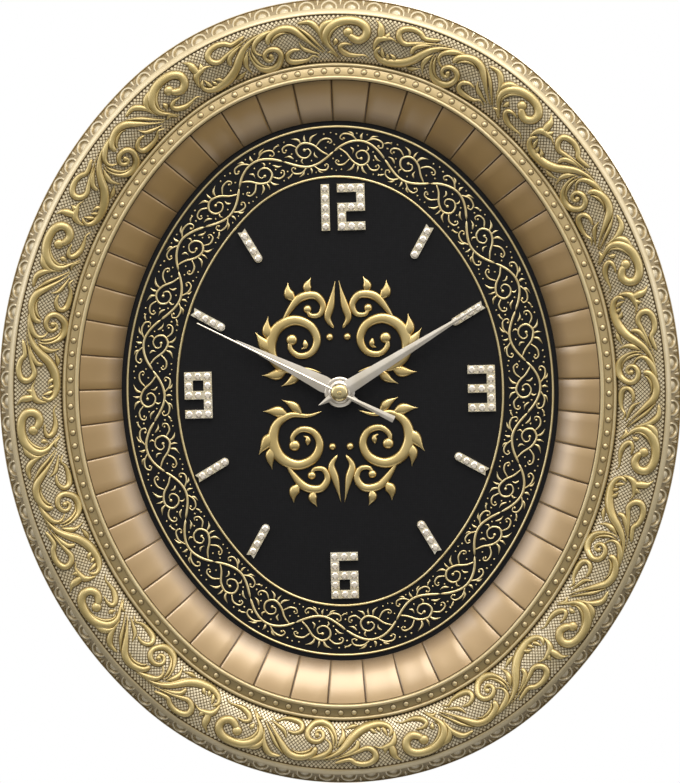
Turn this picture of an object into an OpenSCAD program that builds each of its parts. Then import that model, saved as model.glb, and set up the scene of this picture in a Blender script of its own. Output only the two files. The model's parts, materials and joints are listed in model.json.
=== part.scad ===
// Oval wall clock with a carved frame, a fluted cove ring, a black dial and a quartz movement.
// Drawn flat with +Y up and +Z towards the viewer, then stood up by place() so that the front faces -Y.
// The origin is the nail hole of the hanger, in the plane of the wall.

/* [Oval outline] */
// Overall width of the frame
frame_w = 354; // [342:1:366]
// Overall height of the frame
frame_h = 408; // [398:1:418]

/* [Frame section] */
// Depth of the frame from the wall to the top of its carving
frame_depth = 43; // [41.5:0.5:45]
// Wall of the hollow frame
frame_wall = 3; // [2:0.25:3.5]
// Width of the scalloped border
border_w = 5.5; // [4.5:0.25:6.5]
// Width of the plain strip inside the border
strip_w = 3; // [2:0.25:4]
// Width of the carved cushion
cushion_w = 24.9; // [22:0.5:27]
// Radius of the carved cushion's arc
cushion_r = 28; // [26:0.5:32]
// Distance from the outline to the top of the cushion
crown_in = 14.5; // [13:0.5:16]
// Radius of the round line between cushion and bead band
line_r = 0.9; // [0.6:0.1:1.1]
// Width of the bead band
bead_band_w = 4.6; // [4:0.1:5.5]
// Radius of the lip's rounded edge
lip_r = 1.1; // [0.8:0.1:1.3]

/* [Carving] */
// Repeats of the scrollwork round the cushion
carving_repeats = 11; // [9:1:13]
// Height of the scrolls above the cushion
carving_h = 1.2; // [0.8:0.1:1.5]
// Width of a scroll
carving_w = 2.4; // [1.8:0.1:3]

/* [Cove ring] */
// Width of the cove from the lip to the dial
cove_w = 20.8; // [18:0.4:23]
// Radius of the cove's bow
cove_r = 48; // [40:1:70]
// Step from the lip down to the cove
cove_step = 2; // [1.5:0.25:2.5]
// Height of the cove's inner edge above the dial
cove_edge_h = 1.2; // [0.8:0.1:2]
// Wall of the cove ring
cove_wall = 1.8; // [1.2:0.1:2.4]

/* [Dial] */
// Height of the dial's face above the wall
dial_z = 21; // [20.5:0.5:22]
// Thickness of the dial board
dial_t = 3; // [2.5:0.25:3.5]
// Distance from the cove's inner edge to the outer gold line
outer_trim_gap = 2.3; // [1.5:0.1:3.5]
// Distance between the two gold lines
trim_band_w = 26; // [22:0.5:28]
// Width of a gold line
trim_w = 1.3; // [0.9:0.1:1.8]
// Height of a gold line
trim_h = 0.9; // [0.5:0.1:1.3]

/* [Dial markings] */
// Side of one square of a numeral, with one crystal on it
cell = 4.95; // [4.4:0.05:5.2]
// How far the numerals' edges lie inside their squares
numeral_trim = 0.3; // [0.1:0.05:0.4]
// Height of the numerals and bars above the dial
marker_h = 1.6; // [1:0.1:2]
// Gap between the inner gold line and the numerals twelve and six
numeral_end_gap = 2.9; // [2:0.1:8]
// Gap between the inner gold line and the numerals three and nine
numeral_side_gap = 3.1; // [2:0.1:6]
// Gap between the two digits of the twelve
digit_gap = 3.5; // [2.5:0.1:5]
// Length of an hour bar
bar_l = 19; // [18:0.5:21]
// Width of an hour bar
bar_w = 4.2; // [4.1:0.1:5.2]
// Depth of the notch in an hour bar's outer end
bar_notch = 1; // [0.8:0.1:2.4]
// Gap between the inner gold line and the four bars next to twelve and six
bar_end_gap = 2.6; // [0.8:0.05:8]
// Gap between the inner gold line and the four bars next to three and nine
bar_side_gap = 1; // [0.8:0.05:2]
// Radius of a crystal
crystal_r = 1.75; // [1.2:0.05:2]
// Height of a crystal
crystal_h = 1.1; // [0.7:0.1:1.4]

/* [Ornament] */
// Height of the middle ornament above the dial
ornament_h = 1.8; // [1:0.1:2]
// Width of the middle ornament's stems
stem_w = 3.2; // [2.4:0.1:4]
// Radius of the middle ornament's large scrolls
scroll_r = 13; // [11:0.5:14]
// Number of repeats of the vine between the gold lines
vine_repeats = 26; // [20:2:30]
// Height of the vine above the dial
vine_h = 0.6; // [0.3:0.1:0.9]
// Width of the vine's stem
vine_w = 1.2; // [0.8:0.1:1.6]

/* [Hands] */
// Length of the hour hand from its pivot
hour_l = 60.4; // [54:0.4:64]
// Length of the minute hand from its pivot
minute_l = 87; // [80:0.5:90]
// Length of the second hand from its pivot
second_l = 82.4; // [76:0.4:88]
// Length of the hour and minute hands' tails
tail_l = 12.9; // [10:0.1:15]
// Length of the second hand's tail
second_tail_l = 31.5; // [26:0.5:35]
// Greatest width of the hour hand
hour_w = 8.6; // [7:0.2:10]
// Greatest width of the minute hand
minute_w = 7.4; // [6.4:0.2:9.4]
// Width of the second hand
second_w = 1.2; // [0.8:0.1:1.6]
// Thickness of the hour and minute hands
hand_t = 0.6; // [0.4:0.05:0.8]
// Free height between one hand and the next
hand_gap = 2.2; // [1.6:0.1:2.6]
// Radius of the hour hand's boss
boss_r = 7.85; // [6.5:0.05:9]
// Radius of the cap over the hands
cap_r = 4.5; // [3.5:0.1:5.2]
// Height of the cap
cap_h = 2.2; // [1.6:0.1:2.8]
// Angle of the hour hand, clockwise from twelve
hour_angle = 298; // [0:0.5:360]
// Angle of the minute hand, clockwise from twelve
minute_angle = 59.6; // [0:0.1:360]
// Angle of the second hand, clockwise from twelve
second_angle = 297.5; // [0:0.1:360]

/* [Movement] */
// Wall of the movement case
case_wall = 1.2; // [1:0.1:1.4]
// Space between the movement and the wall
case_back_gap = 1.2; // [0.8:0.1:1.4]
// Thickness of the rubber washer behind the dial
washer_t = 0.8; // [0.6:0.1:1]
// Radius of the rubber washer
washer_r = 12; // [9:0.5:14]
// Radius of the threaded bush
bush_r = 4; // [3.6:0.1:4.4]
// Length of the bush in front of the dial
bush_l = 3; // [2.6:0.1:3.4]
// Thickness of the fixing nut
nut_t = 2; // [1.6:0.1:2.4]
// Width of the fixing nut across its corners
nut_corners = 12.7; // [11.5:0.1:14]
// Diameter of the battery
battery_d = 14.2; // [13.8:0.1:14.3]
// Length of the battery with its button
battery_l = 50.2; // [49:0.1:50.5]
// Length of the battery's spring with the battery in place
spring_l = 2.6; // [2:0.1:4.5]
// Radius of the setting knob
knob_r = 5; // [4:0.1:6]

/* [Train] */
// Radius of the hour tube
hour_tube_r = 2.5; // [2.3:0.05:2.7]
// Radius of the minute arbor
minute_arbor_r = 1.7; // [1.5:0.05:1.8]
// Radius of the second arbor
second_arbor_r = 0.6; // [0.5:0.05:0.7]
// Radius of the other arbors
arbor_r = 0.5; // [0.4:0.05:0.6]
// Distance from the middle to the third wheel and to the minute wheel
train_radius = 9; // [9:0.1:9.4]
// Tooth module of the fifth wheel and the rotor
drive_module = 0.22; // [0.215:0.0025:0.225]
// Running clearance around an arbor
run_clear = 0.05; // [0.03:0.01:0.08]

/* [Hanger] */
// Distance from the frame's top to the nail hole
hang_drop = 21; // [20:0.5:23]
// Radius of the nail hole
nail_r = 4; // [3:0.1:4.5]
// Width of the hanger plate
hanger_w = 60; // [54:1:66]
// Height of the hanger plate
hanger_h = 16; // [15:0.5:18]
// Thickness of the hanger plate
hanger_t = 2; // [1.8:0.1:2.4]

/* [Fasteners] */
// Radius of a screw's shank
screw_r = 1.45; // [1.2:0.05:1.6]
// Length of a screw's shank
screw_l = 10; // [8:0.5:11]
// Radius of a screw's head
screw_head_r = 3; // [2.6:0.1:3.4]
// Height of a dial screw's head
screw_head_h = 2; // [1.6:0.1:2.4]
// Radius of a screw boss
boss_post_r = 3.6; // [3.2:0.1:4]
// Clearance around a screw's shank
screw_clear = 0.1; // [0.05:0.05:0.2]

/* [Hidden] */
$fn = 72;
eps = 0.01;

// Four-arc oval on the triangle with sides 20, 21 and 29: its end and side arcs meet with a shared tangent.
half_w = frame_w / 2;
half_h = frame_h / 2;
oval_legs = [20, 21];
oval_unit = (half_h - half_w) / 12;
end_center = oval_legs.y * oval_unit;
side_center = oval_legs.x * oval_unit;
end_radius = half_h - end_center;
side_radius = half_w + side_center;
end_half_angle = atan2(side_center, end_center);
side_half_angle = 90 - end_half_angle;
wedge_reach = 20 * oval_unit;

// Insets from the outline, from the outer edge inwards.
cushion_in = border_w + strip_w;
line_in = cushion_in + cushion_w + line_r;
bead_in = line_in + line_r;
lip_in = bead_in + bead_band_w + lip_r;
lip_inner = lip_in + lip_r;
fit_gap = 0.3;
cove_in = lip_inner + fit_gap;
dial_in = cove_in + cove_w;
outer_trim_in = dial_in + outer_trim_gap;
inner_trim_in = outer_trim_in + trim_band_w;
vine_in = outer_trim_in + (trim_w + trim_band_w) / 2;

// Heights of the frame's section above the wall.
edge_low_z = 2;
edge_chamfer = 2;
crown_mid_z = frame_depth - carving_h - cushion_r;
cushion_out_z = crown_z(cushion_in, 0);
cushion_end_z = crown_z(line_in - line_r, 0);
strip_rise = 2.5;
border_rise = 8.65;
strip_z = cushion_out_z - strip_rise;
edge_high_z = strip_z - border_rise;
band_rise = 1.2;
lip_lift = 0.7;
lip_z = cushion_end_z + band_rise + lip_lift;
cove_top_z = lip_z + lip_r - cove_step;
ledge_t = 2;
ledge_z = cove_top_z - ledge_t;
cushion_steps = 10;
carving_steps = 5;
cove_steps = 6;

// Scrolls of one repeat, each an arc: its middle in hundredths of the repeat and of the cushion's width, its
// radius in hundredths of that width, its first angle and its turn.
scrolls = [
  [12, 38, 26, 170, 130],
  [17, 73, 60, 275, 62],
  [51, -10, 95, 145, -55],
  [21, 74, 17, 60, 250],
  [46, 44, 37, 151, 115],
  [47, 27, 20, 247, 203],
  [56, 48, 33, 170, -125],
  [87, 115, 102, 204, 44],
  [89, 48, 41, 225, -145],
  [94, 67, 20, 117, -236]
];
scroll_start = 0.018;
scroll_step = 40;
scroll_in = cushion_in + cushion_w / 2;

// Dial board: reaches under the cove ring and out to the screw bosses.
boss_in = bead_in + 1.5;
dial_margin = boss_post_r + 1.5;
dial_board_in = boss_in - dial_margin;
screw_angles = [24, 62, 118, 156, 204, 242, 298, 336];

// Levels of the movement above the wall.
dial_back_z = dial_z - dial_t;
case_front_z = dial_back_z - washer_t;
case_floor_z = case_front_z - case_wall;
cover_z = case_back_gap;
cover_top_z = cover_z + case_wall;
contact_t = 0.4;
case_side = battery_l + spring_l + 2 * (case_wall + contact_t);
case_half = case_side / 2;
case_corner_r = 3;
wheel_t = 0.7;
pinion_t = 1.2;
level_drive = cover_top_z + 2.2;
level_second = level_drive + 1.8;
middle_z = level_second + 1.1;
middle_t = 0.6;
level_third = middle_z + middle_t + 0.3;
level_centre = level_third + 2;
level_minute = level_centre + 1.6;
level_hour = level_minute + 1.6;
pivot_depth = 0.6;
pivot_clear = 0.1;
knob_gap = 0.2;
knob_t = 0.8;

// Tooth counts: rotor to second wheel 30 to 1, second to centre wheel 60 to 1, minute to hour wheel 12 to 1.
rotor_teeth = 8;
fifth_teeth = 40;
fifth_pinion_teeth = 10;
second_teeth = 60;
second_pinion_teeth = 8;
third_teeth = 60;
third_pinion_teeth = 8;
centre_teeth = 64;
cannon_teeth = 12;
minute_teeth = 36;
minute_pinion_teeth = 10;
hour_teeth = 40;
third_module = 2 * train_radius / (second_pinion_teeth + third_teeth);
centre_module = 2 * train_radius / (third_pinion_teeth + centre_teeth);
cannon_module = 2 * train_radius / (cannon_teeth + minute_teeth);
hour_module = 2 * train_radius / (minute_pinion_teeth + hour_teeth);
tooth_add = 0.85;
tooth_ded = 1.2;
tooth_root = 0.25;
tooth_tip = 0.1;
third_dir = 135;
minute_dir = 45;
fifth_dir = 0;
rotor_dir = -20;
fifth_distance = drive_module * (fifth_pinion_teeth + second_teeth) / 2;
rotor_distance = drive_module * (rotor_teeth + fifth_teeth) / 2;
third_at = polar(third_dir, train_radius);
minute_at = polar(minute_dir, train_radius);
fifth_at = polar(fifth_dir, fifth_distance);
rotor_at = fifth_at + polar(rotor_dir, rotor_distance);

// Stack of the hands on their arbors.
bush_top_z = dial_z + bush_l;
bush_gap = 1.4;
hour_hand_z = bush_top_z + bush_gap;
minute_hand_z = hour_hand_z + hand_t + hand_gap;
second_hand_z = minute_hand_z + hand_t + hand_gap;
second_t = 0.4;
collet_wall = 0.9;
collet_h = 1;
tube_end = 0.3;
bore_over = 1;

// Motor and battery inside the case.
magnet_r = 2.4;
stator_gap = 0.2;
stator_ring = 1;
stator_t = 1.2;
stator_z = level_second - 0.4;
coil_x = 20.4;
coil_r = 3.2;
coil_l = 17;
coil_y = 4;
coil_core_r = 1.1;
coil_core_end = 3;
coil_flange_t = 0.8;
coil_flange_rim = 0.3;
stator_arm_w = 2;
stator_shift = 1.6;
stator_foot_y = coil_l / 2 + 1.8;
board_size = [17, 9, 0.8];
board_gap = [1.8, 2.3];
board_at = [
  board_size.x / 2 + board_gap.x - case_half + case_wall,
  case_half - case_wall - board_size.y / 2 - board_gap.y
];
board_z = cover_top_z + 1.8;
board_post_in = 2;
post_r = 1.2;
chip_x = -3;
chip_r = 2.4;
chip_h = 1;
crystal_can_x = 4.5;
crystal_can_r = 1.1;
crystal_can_l = 6.2;
bay_clear = 0.3;
bay_wall = 0.8;
battery_y = -(case_half - case_wall - bay_clear - battery_d / 2);
battery_z = case_floor_z - bay_clear - battery_d / 2;
bay_top_y = battery_y + battery_d / 2 + bay_clear;
contact_w = 8.4;
bay_half = case_half - case_wall - contact_t;
button_r = 2.7;
button_l = 1.2;

// Seats of the hanger behind the top of the frame.
hang_y = half_h - hang_drop;
hanger_screw_x = hanger_w / 2 - 8;
sink_h = 1.6;
screw_end_gap = 1;

digit_two = ["111", "001", "111", "100", "111"];
digit_three = ["111", "001", "111", "001", "111"];
digit_six = ["111", "100", "111", "101", "111"];
digit_nine = ["111", "101", "111", "001", "111"];
digit_one = ["1", "1", "1", "1", "1"];
bar_hours = [1, 2, 4, 5, 7, 8, 10, 11];
bar_stones = 4;
hour_pitch = 30;
bar_far_r = line_reach(hour_pitch) - bar_end_gap - bar_l / 2;
bar_near_r = line_reach(2 * hour_pitch) - bar_side_gap - bar_l / 2;
numeral_columns = 3;
numeral_rows = 5;
numeral_x = line_reach(90) - numeral_side_gap - numeral_columns * cell / 2;
numeral_y = line_reach(0) - numeral_end_gap - numeral_rows * cell / 2;
twelve_shift = 0.8;
one_x = -(digit_gap + cell) / 2 - twelve_shift;
two_x = (digit_gap + numeral_columns * cell) / 2 - twelve_shift;

function polar(a, r) = [r * cos(a), r * sin(a)];

// Height of the cushion's arc at the inset u, at a depth d under its surface.
function crown_z(u, d) = crown_mid_z + sqrt(pow(cushion_r - d, 2) - pow(u - crown_in, 2));

// Points of an arc of radius r from p to q, to the left of the way from p to q where side is 1.
function arc_points(p, q, r, side, steps) =
  let (
    chord = q - p,
    across = [-chord.y, chord.x] / norm(chord),
    mid = (p + q) / 2 - side * across * sqrt(r * r - norm(chord) * norm(chord) / 4),
    a = atan2(p.y - mid.y, p.x - mid.x),
    b = atan2(q.y - mid.y, q.x - mid.x),
    turn = b - a - 360 * round((b - a) / 360)
  )
  [for (i = [0:steps]) mid + polar(a + turn * i / steps, r)];

// Place and outward heading on the outline inset by d, at a turn measured clockwise from twelve.
function oval_at(d, turn) =
  let (
    quarter = turn % 360,
    up = quarter <= 90 || quarter >= 270 ? 1 : -1,
    right = quarter <= 180 ? 1 : -1,
    tilt = up > 0 ? (right > 0 ? quarter : 360 - quarter) : abs(180 - quarter),
    on_end = tilt <= end_half_angle,
    r = on_end ? end_radius - d : side_radius - d,
    c = on_end ? [0, end_center] : [-side_center, 0],
    p = c + [r * sin(tilt), r * cos(tilt)]
  )
  [right * p.x, up * p.y, 90 - quarter];

// Length of the outline inset by d, and the heading at a share of it clockwise from twelve.
function end_arc(d) = (end_radius - d) * end_half_angle * PI / 180;
function side_arc(d) = (side_radius - d) * side_half_angle * PI / 180;
function quarter_len(d) = end_arc(d) + side_arc(d);
function quarter_turn(d, s) =
  s <= end_arc(d)
    ? s / (end_radius - d) * 180 / PI
    : end_half_angle + (s - end_arc(d)) / (side_radius - d) * 180 / PI;
function turn_at(d, share) =
  let (q = quarter_len(d), s = (share % 1) * 4 * q, k = floor(s / q), rest = s - k * q)
  k % 2 == 0 ? 90 * k + quarter_turn(d, rest) : 90 * (k + 1) - quarter_turn(d, q - rest);

// Distance from the middle to the inner gold line, at a turn of up to 90 measured clockwise from twelve.
function line_reach(turn) =
  let (
    d = inner_trim_in + trim_w,
    e = end_radius - d,
    s = side_radius - d,
    seam = atan2(e * sin(end_half_angle), end_center + e * cos(end_half_angle))
  )
  turn <= seam
    ? end_center * cos(turn) + sqrt(e * e - pow(end_center * sin(turn), 2))
    : sqrt(s * s - pow(side_center * cos(turn), 2)) - side_center * sin(turn);

// Outline of a gear: four corners for each tooth, with a tooth on the +X axis.
function gear_points(teeth, size) =
  let (
    root = size * (teeth / 2 - tooth_ded),
    tip = size * (teeth / 2 + tooth_add),
    corners = [[root, -tooth_root], [tip, -tooth_tip], [tip, tooth_tip], [root, tooth_root]]
  )
  [for (i = [0:teeth - 1]) for (c = corners) polar(360 * (i + c[1]) / teeth, c[0])];

// Stands the drawing up on the wall and puts the nail hole at the origin.
module place() {
  rotate([90, 0, 0])
    translate([0, -hang_y, 0])
      children();
}

// The stretch of the plane that belongs to the upper end arc, with a lap over the side arcs.
module end_wedge() {
  polygon([
    [0, end_center - eps],
    [wedge_reach * oval_legs.x, end_center - eps + wedge_reach * oval_legs.y],
    [-wedge_reach * oval_legs.x, end_center - eps + wedge_reach * oval_legs.y]
  ]);
}

// The stretch of the plane that belongs to the right side arc.
module side_wedge() {
  polygon([
    [0, -end_center],
    [wedge_reach * oval_legs.x, -end_center - wedge_reach * oval_legs.y],
    [wedge_reach * oval_legs.x, end_center + wedge_reach * oval_legs.y],
    [0, end_center]
  ]);
}

// Carries a section, drawn as inset and height, round the oval.
module oval_ring() {
  for (half = [0, 180])
    rotate(half) {
      intersection() {
        translate([0, end_center])
          rotate_extrude()
            translate([end_radius, 0])
              mirror([1, 0])
                children();
        linear_extrude(2 * frame_depth)
          end_wedge();
      }
      intersection() {
        translate([-side_center, 0])
          rotate_extrude()
            translate([side_radius, 0])
              mirror([1, 0])
                children();
        linear_extrude(2 * frame_depth)
          side_wedge();
      }
    }
}

// A flat oval plate, inset by d, from height z up to z + t.
module oval_plate(d, z, t) {
  translate([0, 0, z])
    linear_extrude(t)
      for (half = [0, 180])
        rotate(half) {
          intersection() {
            translate([0, end_center])
              circle(r = end_radius - d);
            end_wedge();
          }
          intersection() {
            translate([-side_center, 0])
              circle(r = side_radius - d);
            side_wedge();
          }
        }
}

module at_height(z) {
  translate([0, 0, z])
    children();
}

module rod(r, z0, z1) {
  translate([0, 0, z0])
    cylinder(r = r, h = z1 - z0);
}

// A toothed wheel at height z, in the drawing's plane. A tooth lies on the heading, or a gap where gap is true.
module gear(teeth, size, z, t, heading, gap) {
  at_height(z)
    rotate(heading + (gap ? 180 / teeth : 0))
      linear_extrude(t)
        polygon(gear_points(teeth, size));
}

// A pinion of the train, with its teeth on both sides of the wheel at height z.
module pinion(teeth, size, z, heading) {
  gear(teeth, size, z - (pinion_t - wheel_t) / 2, pinion_t, heading, false);
}

module at_screws() {
  for (a = screw_angles) {
    p = oval_at(boss_in, a);
    translate([p[0], p[1]])
      children();
  }
}

module at_hanger_screws() {
  for (s = [-1, 1])
    translate([s * hanger_screw_x, hang_y])
      children();
}

// Section of the hollow frame, from the rim on the wall round the front to the lip and back inside.
module frame_section() {
  rim_in = edge_chamfer + frame_wall;
  end_in = line_in - line_r;
  shoulder_in = cushion_in + frame_wall;
  cushion = arc_points([cushion_in, cushion_out_z], [end_in, cushion_end_z], cushion_r, 1, cushion_steps);
  inner = arc_points(
    [shoulder_in, crown_z(shoulder_in, frame_wall)],
    [end_in, crown_z(end_in, frame_wall)],
    cushion_r - frame_wall, 1, cushion_steps
  );
  polygon(concat(
    [[edge_chamfer, 0], [0, edge_low_z], [0, edge_high_z], [border_w, strip_z]],
    cushion,
    [[bead_in, cushion_end_z], [lip_in - lip_r, cushion_end_z + band_rise]],
    [[lip_in - lip_r, lip_z], [lip_inner, lip_z], [lip_inner, ledge_z], [lip_in - lip_r, ledge_z]],
    [for (i = [cushion_steps:-1:0]) inner[i]],
    [[border_w + frame_wall, strip_z - 2], [frame_wall, edge_high_z - 1], [rim_in, 0]]
  ));
  translate([line_in, cushion_end_z])
    circle(r = line_r);
  translate([lip_in, lip_z])
    circle(r = lip_r);
}

// Section of the band that the scrolls stand in, from inside the cushion's wall up to their tops.
module carving_section() {
  end_in = line_in - line_r;
  crown = arc_points([cushion_in, cushion_out_z], [end_in, cushion_end_z], cushion_r, 1, carving_steps);
  polygon(concat(
    [for (p = crown) p + [0, carving_h]],
    [for (i = [carving_steps:-1:0]) crown[i] - [0, frame_wall / 2]]
  ));
}

// Outline of a scroll: an arc of the carving's width, in straight steps.
module scroll_outline(r, a, turn) {
  steps = ceil(abs(turn) / scroll_step);
  far = [for (i = [0:steps]) polar(a + turn * i / steps, r + carving_w / 2)];
  near = [for (i = [steps:-1:0]) polar(a + turn * i / steps, r - carving_w / 2)];
  polygon(concat(far, near));
}

// The scrolls of the cushion, cut from a band that follows its crown.
module carving() {
  intersection() {
    oval_ring()
      carving_section();
    linear_extrude(frame_depth)
      for (i = [0:carving_repeats - 1])
        for (s = scrolls) {
          turn = turn_at(scroll_in, scroll_start + (i + s[0] / 100) / carving_repeats);
          p = oval_at(line_in - line_r - cushion_w * s[1] / 100, turn);
          translate([p[0], p[1]])
            rotate(p[2] - 90)
              scroll_outline(cushion_w * s[2] / 100, s[3], s[4]);
        }
  }
}

// One post for a screw, from height z up into the frame's wall at the height top.
module screw_post(z, top) {
  difference() {
    rod(boss_post_r, z, top);
    rod(screw_r + screw_clear, z - eps, z + screw_l);
  }
}

module frame_moulding() {
  color("darkgoldenrod")
    place() {
      oval_ring()
        frame_section();
      carving();
      at_screws()
        screw_post(dial_z, cushion_end_z - frame_wall / 2);
      at_hanger_screws()
        screw_post(hanger_t, crown_z(hang_drop, frame_wall / 2));
    }
}

// Section of the cove ring: a bowed wall that stands on the dial and lies behind the frame's lip.
module cove_section() {
  inner_z = dial_z + cove_edge_h;
  face = arc_points([cove_in, cove_top_z], [dial_in, inner_z], cove_r, 1, cove_steps);
  hollow = arc_points(
    [cove_in + cove_wall, cove_top_z - 2 * cove_wall],
    [dial_in - 2 * cove_wall, dial_z + eps],
    cove_r - cove_wall, 1, cove_steps
  );
  polygon(concat(
    [[cove_in, dial_z]],
    face,
    [[dial_in, dial_z]],
    [for (i = [cove_steps:-1:0]) hollow[i]],
    [[cove_in + cove_wall, dial_z]]
  ));
}

module cove_ring() {
  color("peru")
    place()
      oval_ring()
        cove_section();
}

module dial_panel() {
  color("#201f22")
    place()
      difference() {
        oval_plate(dial_board_in, dial_back_z, dial_t);
        rod(bush_r + screw_clear, dial_back_z - eps, dial_z + eps);
        at_screws()
          rod(screw_r + screw_clear, dial_back_z - eps, dial_z + eps);
      }
}

module trim_ring(inset) {
  color("khaki")
    place()
      oval_ring()
        translate([inset, dial_z])
          square([trim_w, trim_h]);
}

module outer_trim_ring() {
  trim_ring(outer_trim_in);
}

module inner_trim_ring() {
  trim_ring(inner_trim_in);
}

// A pointed leaf along +X, where two equal circles cross.
module leaf(length, width) {
  r = (length * length / 4 + width * width / 4) / width;
  translate([length / 2, 0])
    intersection() {
      translate([0, r - width / 2])
        circle(r = r);
      translate([0, width / 2 - r])
        circle(r = r);
    }
}

// Part of a flat ring of the given width, from angle a through the given turn.
module band_arc(r, width, h, a, turn) {
  rotate(a)
    rotate_extrude(angle = turn)
      translate([r - width / 2, 0])
        square([width, h]);
}

// One repeat of the vine: an open curl with a leaf outside it and a berry in it.
module vine_unit(size, flip) {
  curl_r = size * 0.27;
  mirror([0, flip]) {
    band_arc(curl_r, vine_w, vine_h, -60, 270);
    linear_extrude(vine_h)
      translate([curl_r * 0.9, curl_r * 0.8])
        rotate(30)
          leaf(size * 0.45, size * 0.17);
    linear_extrude(vine_h)
      translate([-curl_r * 0.9, curl_r * 0.9])
        rotate(150)
          leaf(size * 0.36, size * 0.15);
    cylinder(r = vine_w * 0.9, h = vine_h);
  }
}

module vine_band() {
  size = trim_band_w * 0.62;
  color("khaki")
    place()
      for (i = [0:vine_repeats - 1]) {
        turn = turn_at(vine_in, (i + 0.5) / vine_repeats);
        p = oval_at(vine_in, turn);
        translate([p[0], p[1], dial_z])
          rotate(p[2] - 90)
            vine_unit(size, i % 2);
      }
}

// One quarter of the middle ornament: a large scroll, a small scroll and three leaves.
module ornament_quarter() {
  small_r = scroll_r * 0.6;
  large_at = [scroll_r + 9, scroll_r + 12];
  small_at = [small_r + 7, large_at.y + scroll_r + small_r - stem_w];
  translate(large_at)
    band_arc(scroll_r, stem_w, ornament_h, -130, 275);
  translate(large_at + [1, -2])
    cylinder(r = stem_w, h = ornament_h);
  translate(small_at)
    band_arc(small_r, stem_w * 0.8, ornament_h, -30, 250);
  linear_extrude(ornament_h) {
    translate(large_at + polar(-20, scroll_r))
      rotate(48)
        leaf(scroll_r * 1.15, scroll_r * 0.5);
    translate(large_at + polar(-75, scroll_r))
      rotate(-68)
        leaf(scroll_r * 1.1, scroll_r * 0.45);
    translate(small_at + polar(60, small_r))
      rotate(20)
        leaf(scroll_r * 0.9, scroll_r * 0.4);
  }
}

module centre_ornament() {
  finial_y = 2 * scroll_r + 10;
  color("goldenrod")
    place()
      at_height(dial_z) {
        for (up = [0, 1])
          mirror([0, up]) {
            for (right = [0, 1])
              mirror([right, 0])
                ornament_quarter();
            translate([0, finial_y])
              rotate(90)
                linear_extrude(ornament_h)
                  leaf(scroll_r * 1.9, scroll_r * 0.75);
          }
      }
}

// A numeral made of square cells, from five rows of text with a 1 for each filled cell.
module cells(rows, x, y) {
  for (row = [0:len(rows) - 1])
    for (column = [0:len(rows[row]) - 1])
      if (rows[row][column] == "1")
        translate([
          x + (column - (len(rows[row]) - 1) / 2) * cell,
          y - (row - (len(rows) - 1) / 2) * cell
        ])
          children();
}

module numeral(rows, x, y) {
  color("palegoldenrod")
    place()
      at_height(dial_z)
        linear_extrude(marker_h)
          offset(delta = -numeral_trim)
            cells(rows, x, y)
              square([cell, cell], center = true);
}

module numeral_twelve() {
  numeral(digit_one, one_x, numeral_y);
  numeral(digit_two, two_x, numeral_y);
}

module numeral_three() {
  numeral(digit_three, numeral_x, 0);
}

module numeral_six() {
  numeral(digit_six, 0, -numeral_y);
}

module numeral_nine() {
  numeral(digit_nine, -numeral_x, 0);
}

// An hour bar along +Y with a round inner end and a notched outer end.
module hour_bar() {
  round_y = -bar_l / 2 + bar_w / 2;
  linear_extrude(marker_h)
    union() {
      translate([0, round_y])
        circle(d = bar_w);
      polygon([
        [-bar_w / 2, round_y], [bar_w / 2, round_y], [bar_w / 2, bar_l / 2],
        [0, bar_l / 2 - bar_notch], [-bar_w / 2, bar_l / 2]
      ]);
    }
}

module at_bars() {
  for (hour = bar_hours) {
    r = hour % 6 == 1 || hour % 6 == 5 ? bar_far_r : bar_near_r;
    rotate(-hour_pitch * hour)
      translate([0, r])
        children();
  }
}

module hour_bars() {
  color("palegoldenrod")
    place()
      at_height(dial_z)
        at_bars()
          hour_bar();
}

// A crystal: a short cone with its point cut off.
module crystal() {
  cylinder(r1 = crystal_r, r2 = crystal_r * 0.55, h = crystal_h);
}

module crystals() {
  pitch = (bar_l - bar_notch) / bar_stones;
  color("white")
    place()
      at_height(dial_z + marker_h) {
        cells(digit_one, one_x, numeral_y)
          crystal();
        cells(digit_two, two_x, numeral_y)
          crystal();
        cells(digit_three, numeral_x, 0)
          crystal();
        cells(digit_six, 0, -numeral_y)
          crystal();
        cells(digit_nine, -numeral_x, 0)
          crystal();
        at_bars()
          for (i = [0:bar_stones - 1])
            translate([0, -bar_l / 2 + (i + 0.5) * pitch])
              crystal();
      }
}

module dial_screws() {
  color("silver")
    place()
      at_screws() {
        rod(screw_head_r, dial_back_z - screw_head_h, dial_back_z);
        rod(screw_r, dial_back_z, dial_back_z + screw_l - screw_end_gap);
      }
}

// Countersunk seat in the wall side of the hanger plate, grown by a clearance.
module sunk_head(clear) {
  at_height(0)
    cylinder(r1 = screw_head_r + clear, r2 = screw_r + clear, h = sink_h);
}

module hanger_plate() {
  color("silver")
    place()
      difference() {
        translate([-hanger_w / 2, hang_y - hanger_h / 2, 0])
          cube([hanger_w, hanger_h, hanger_t]);
        translate([0, hang_y])
          rod(nail_r, -eps, hanger_t + eps);
        at_hanger_screws() {
          at_height(-eps)
            sunk_head(screw_clear);
          rod(screw_r + screw_clear, -eps, hanger_t + eps);
        }
      }
}

module hanger_screws() {
  color("silver")
    place()
      at_hanger_screws() {
        sunk_head(0);
        rod(screw_r, sink_h - eps, hanger_t + screw_l - screw_end_gap);
      }
}

module rounded_square(side) {
  inner = side - 2 * case_corner_r;
  square([side, inner], center = true);
  square([inner, side], center = true);
  for (x = [-1, 1])
    for (y = [-1, 1])
      translate([x * inner / 2, y * inner / 2])
        circle(r = case_corner_r);
}

module at_point(p) {
  translate([p.x, p.y])
    children();
}

// Where the middle plate stands on posts of the case.
module at_plate_posts() {
  for (p = [[-13, -6], [-15.5, 12], [1, 17], [13.5, -7.5]])
    at_point(p)
      children();
}

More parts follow.
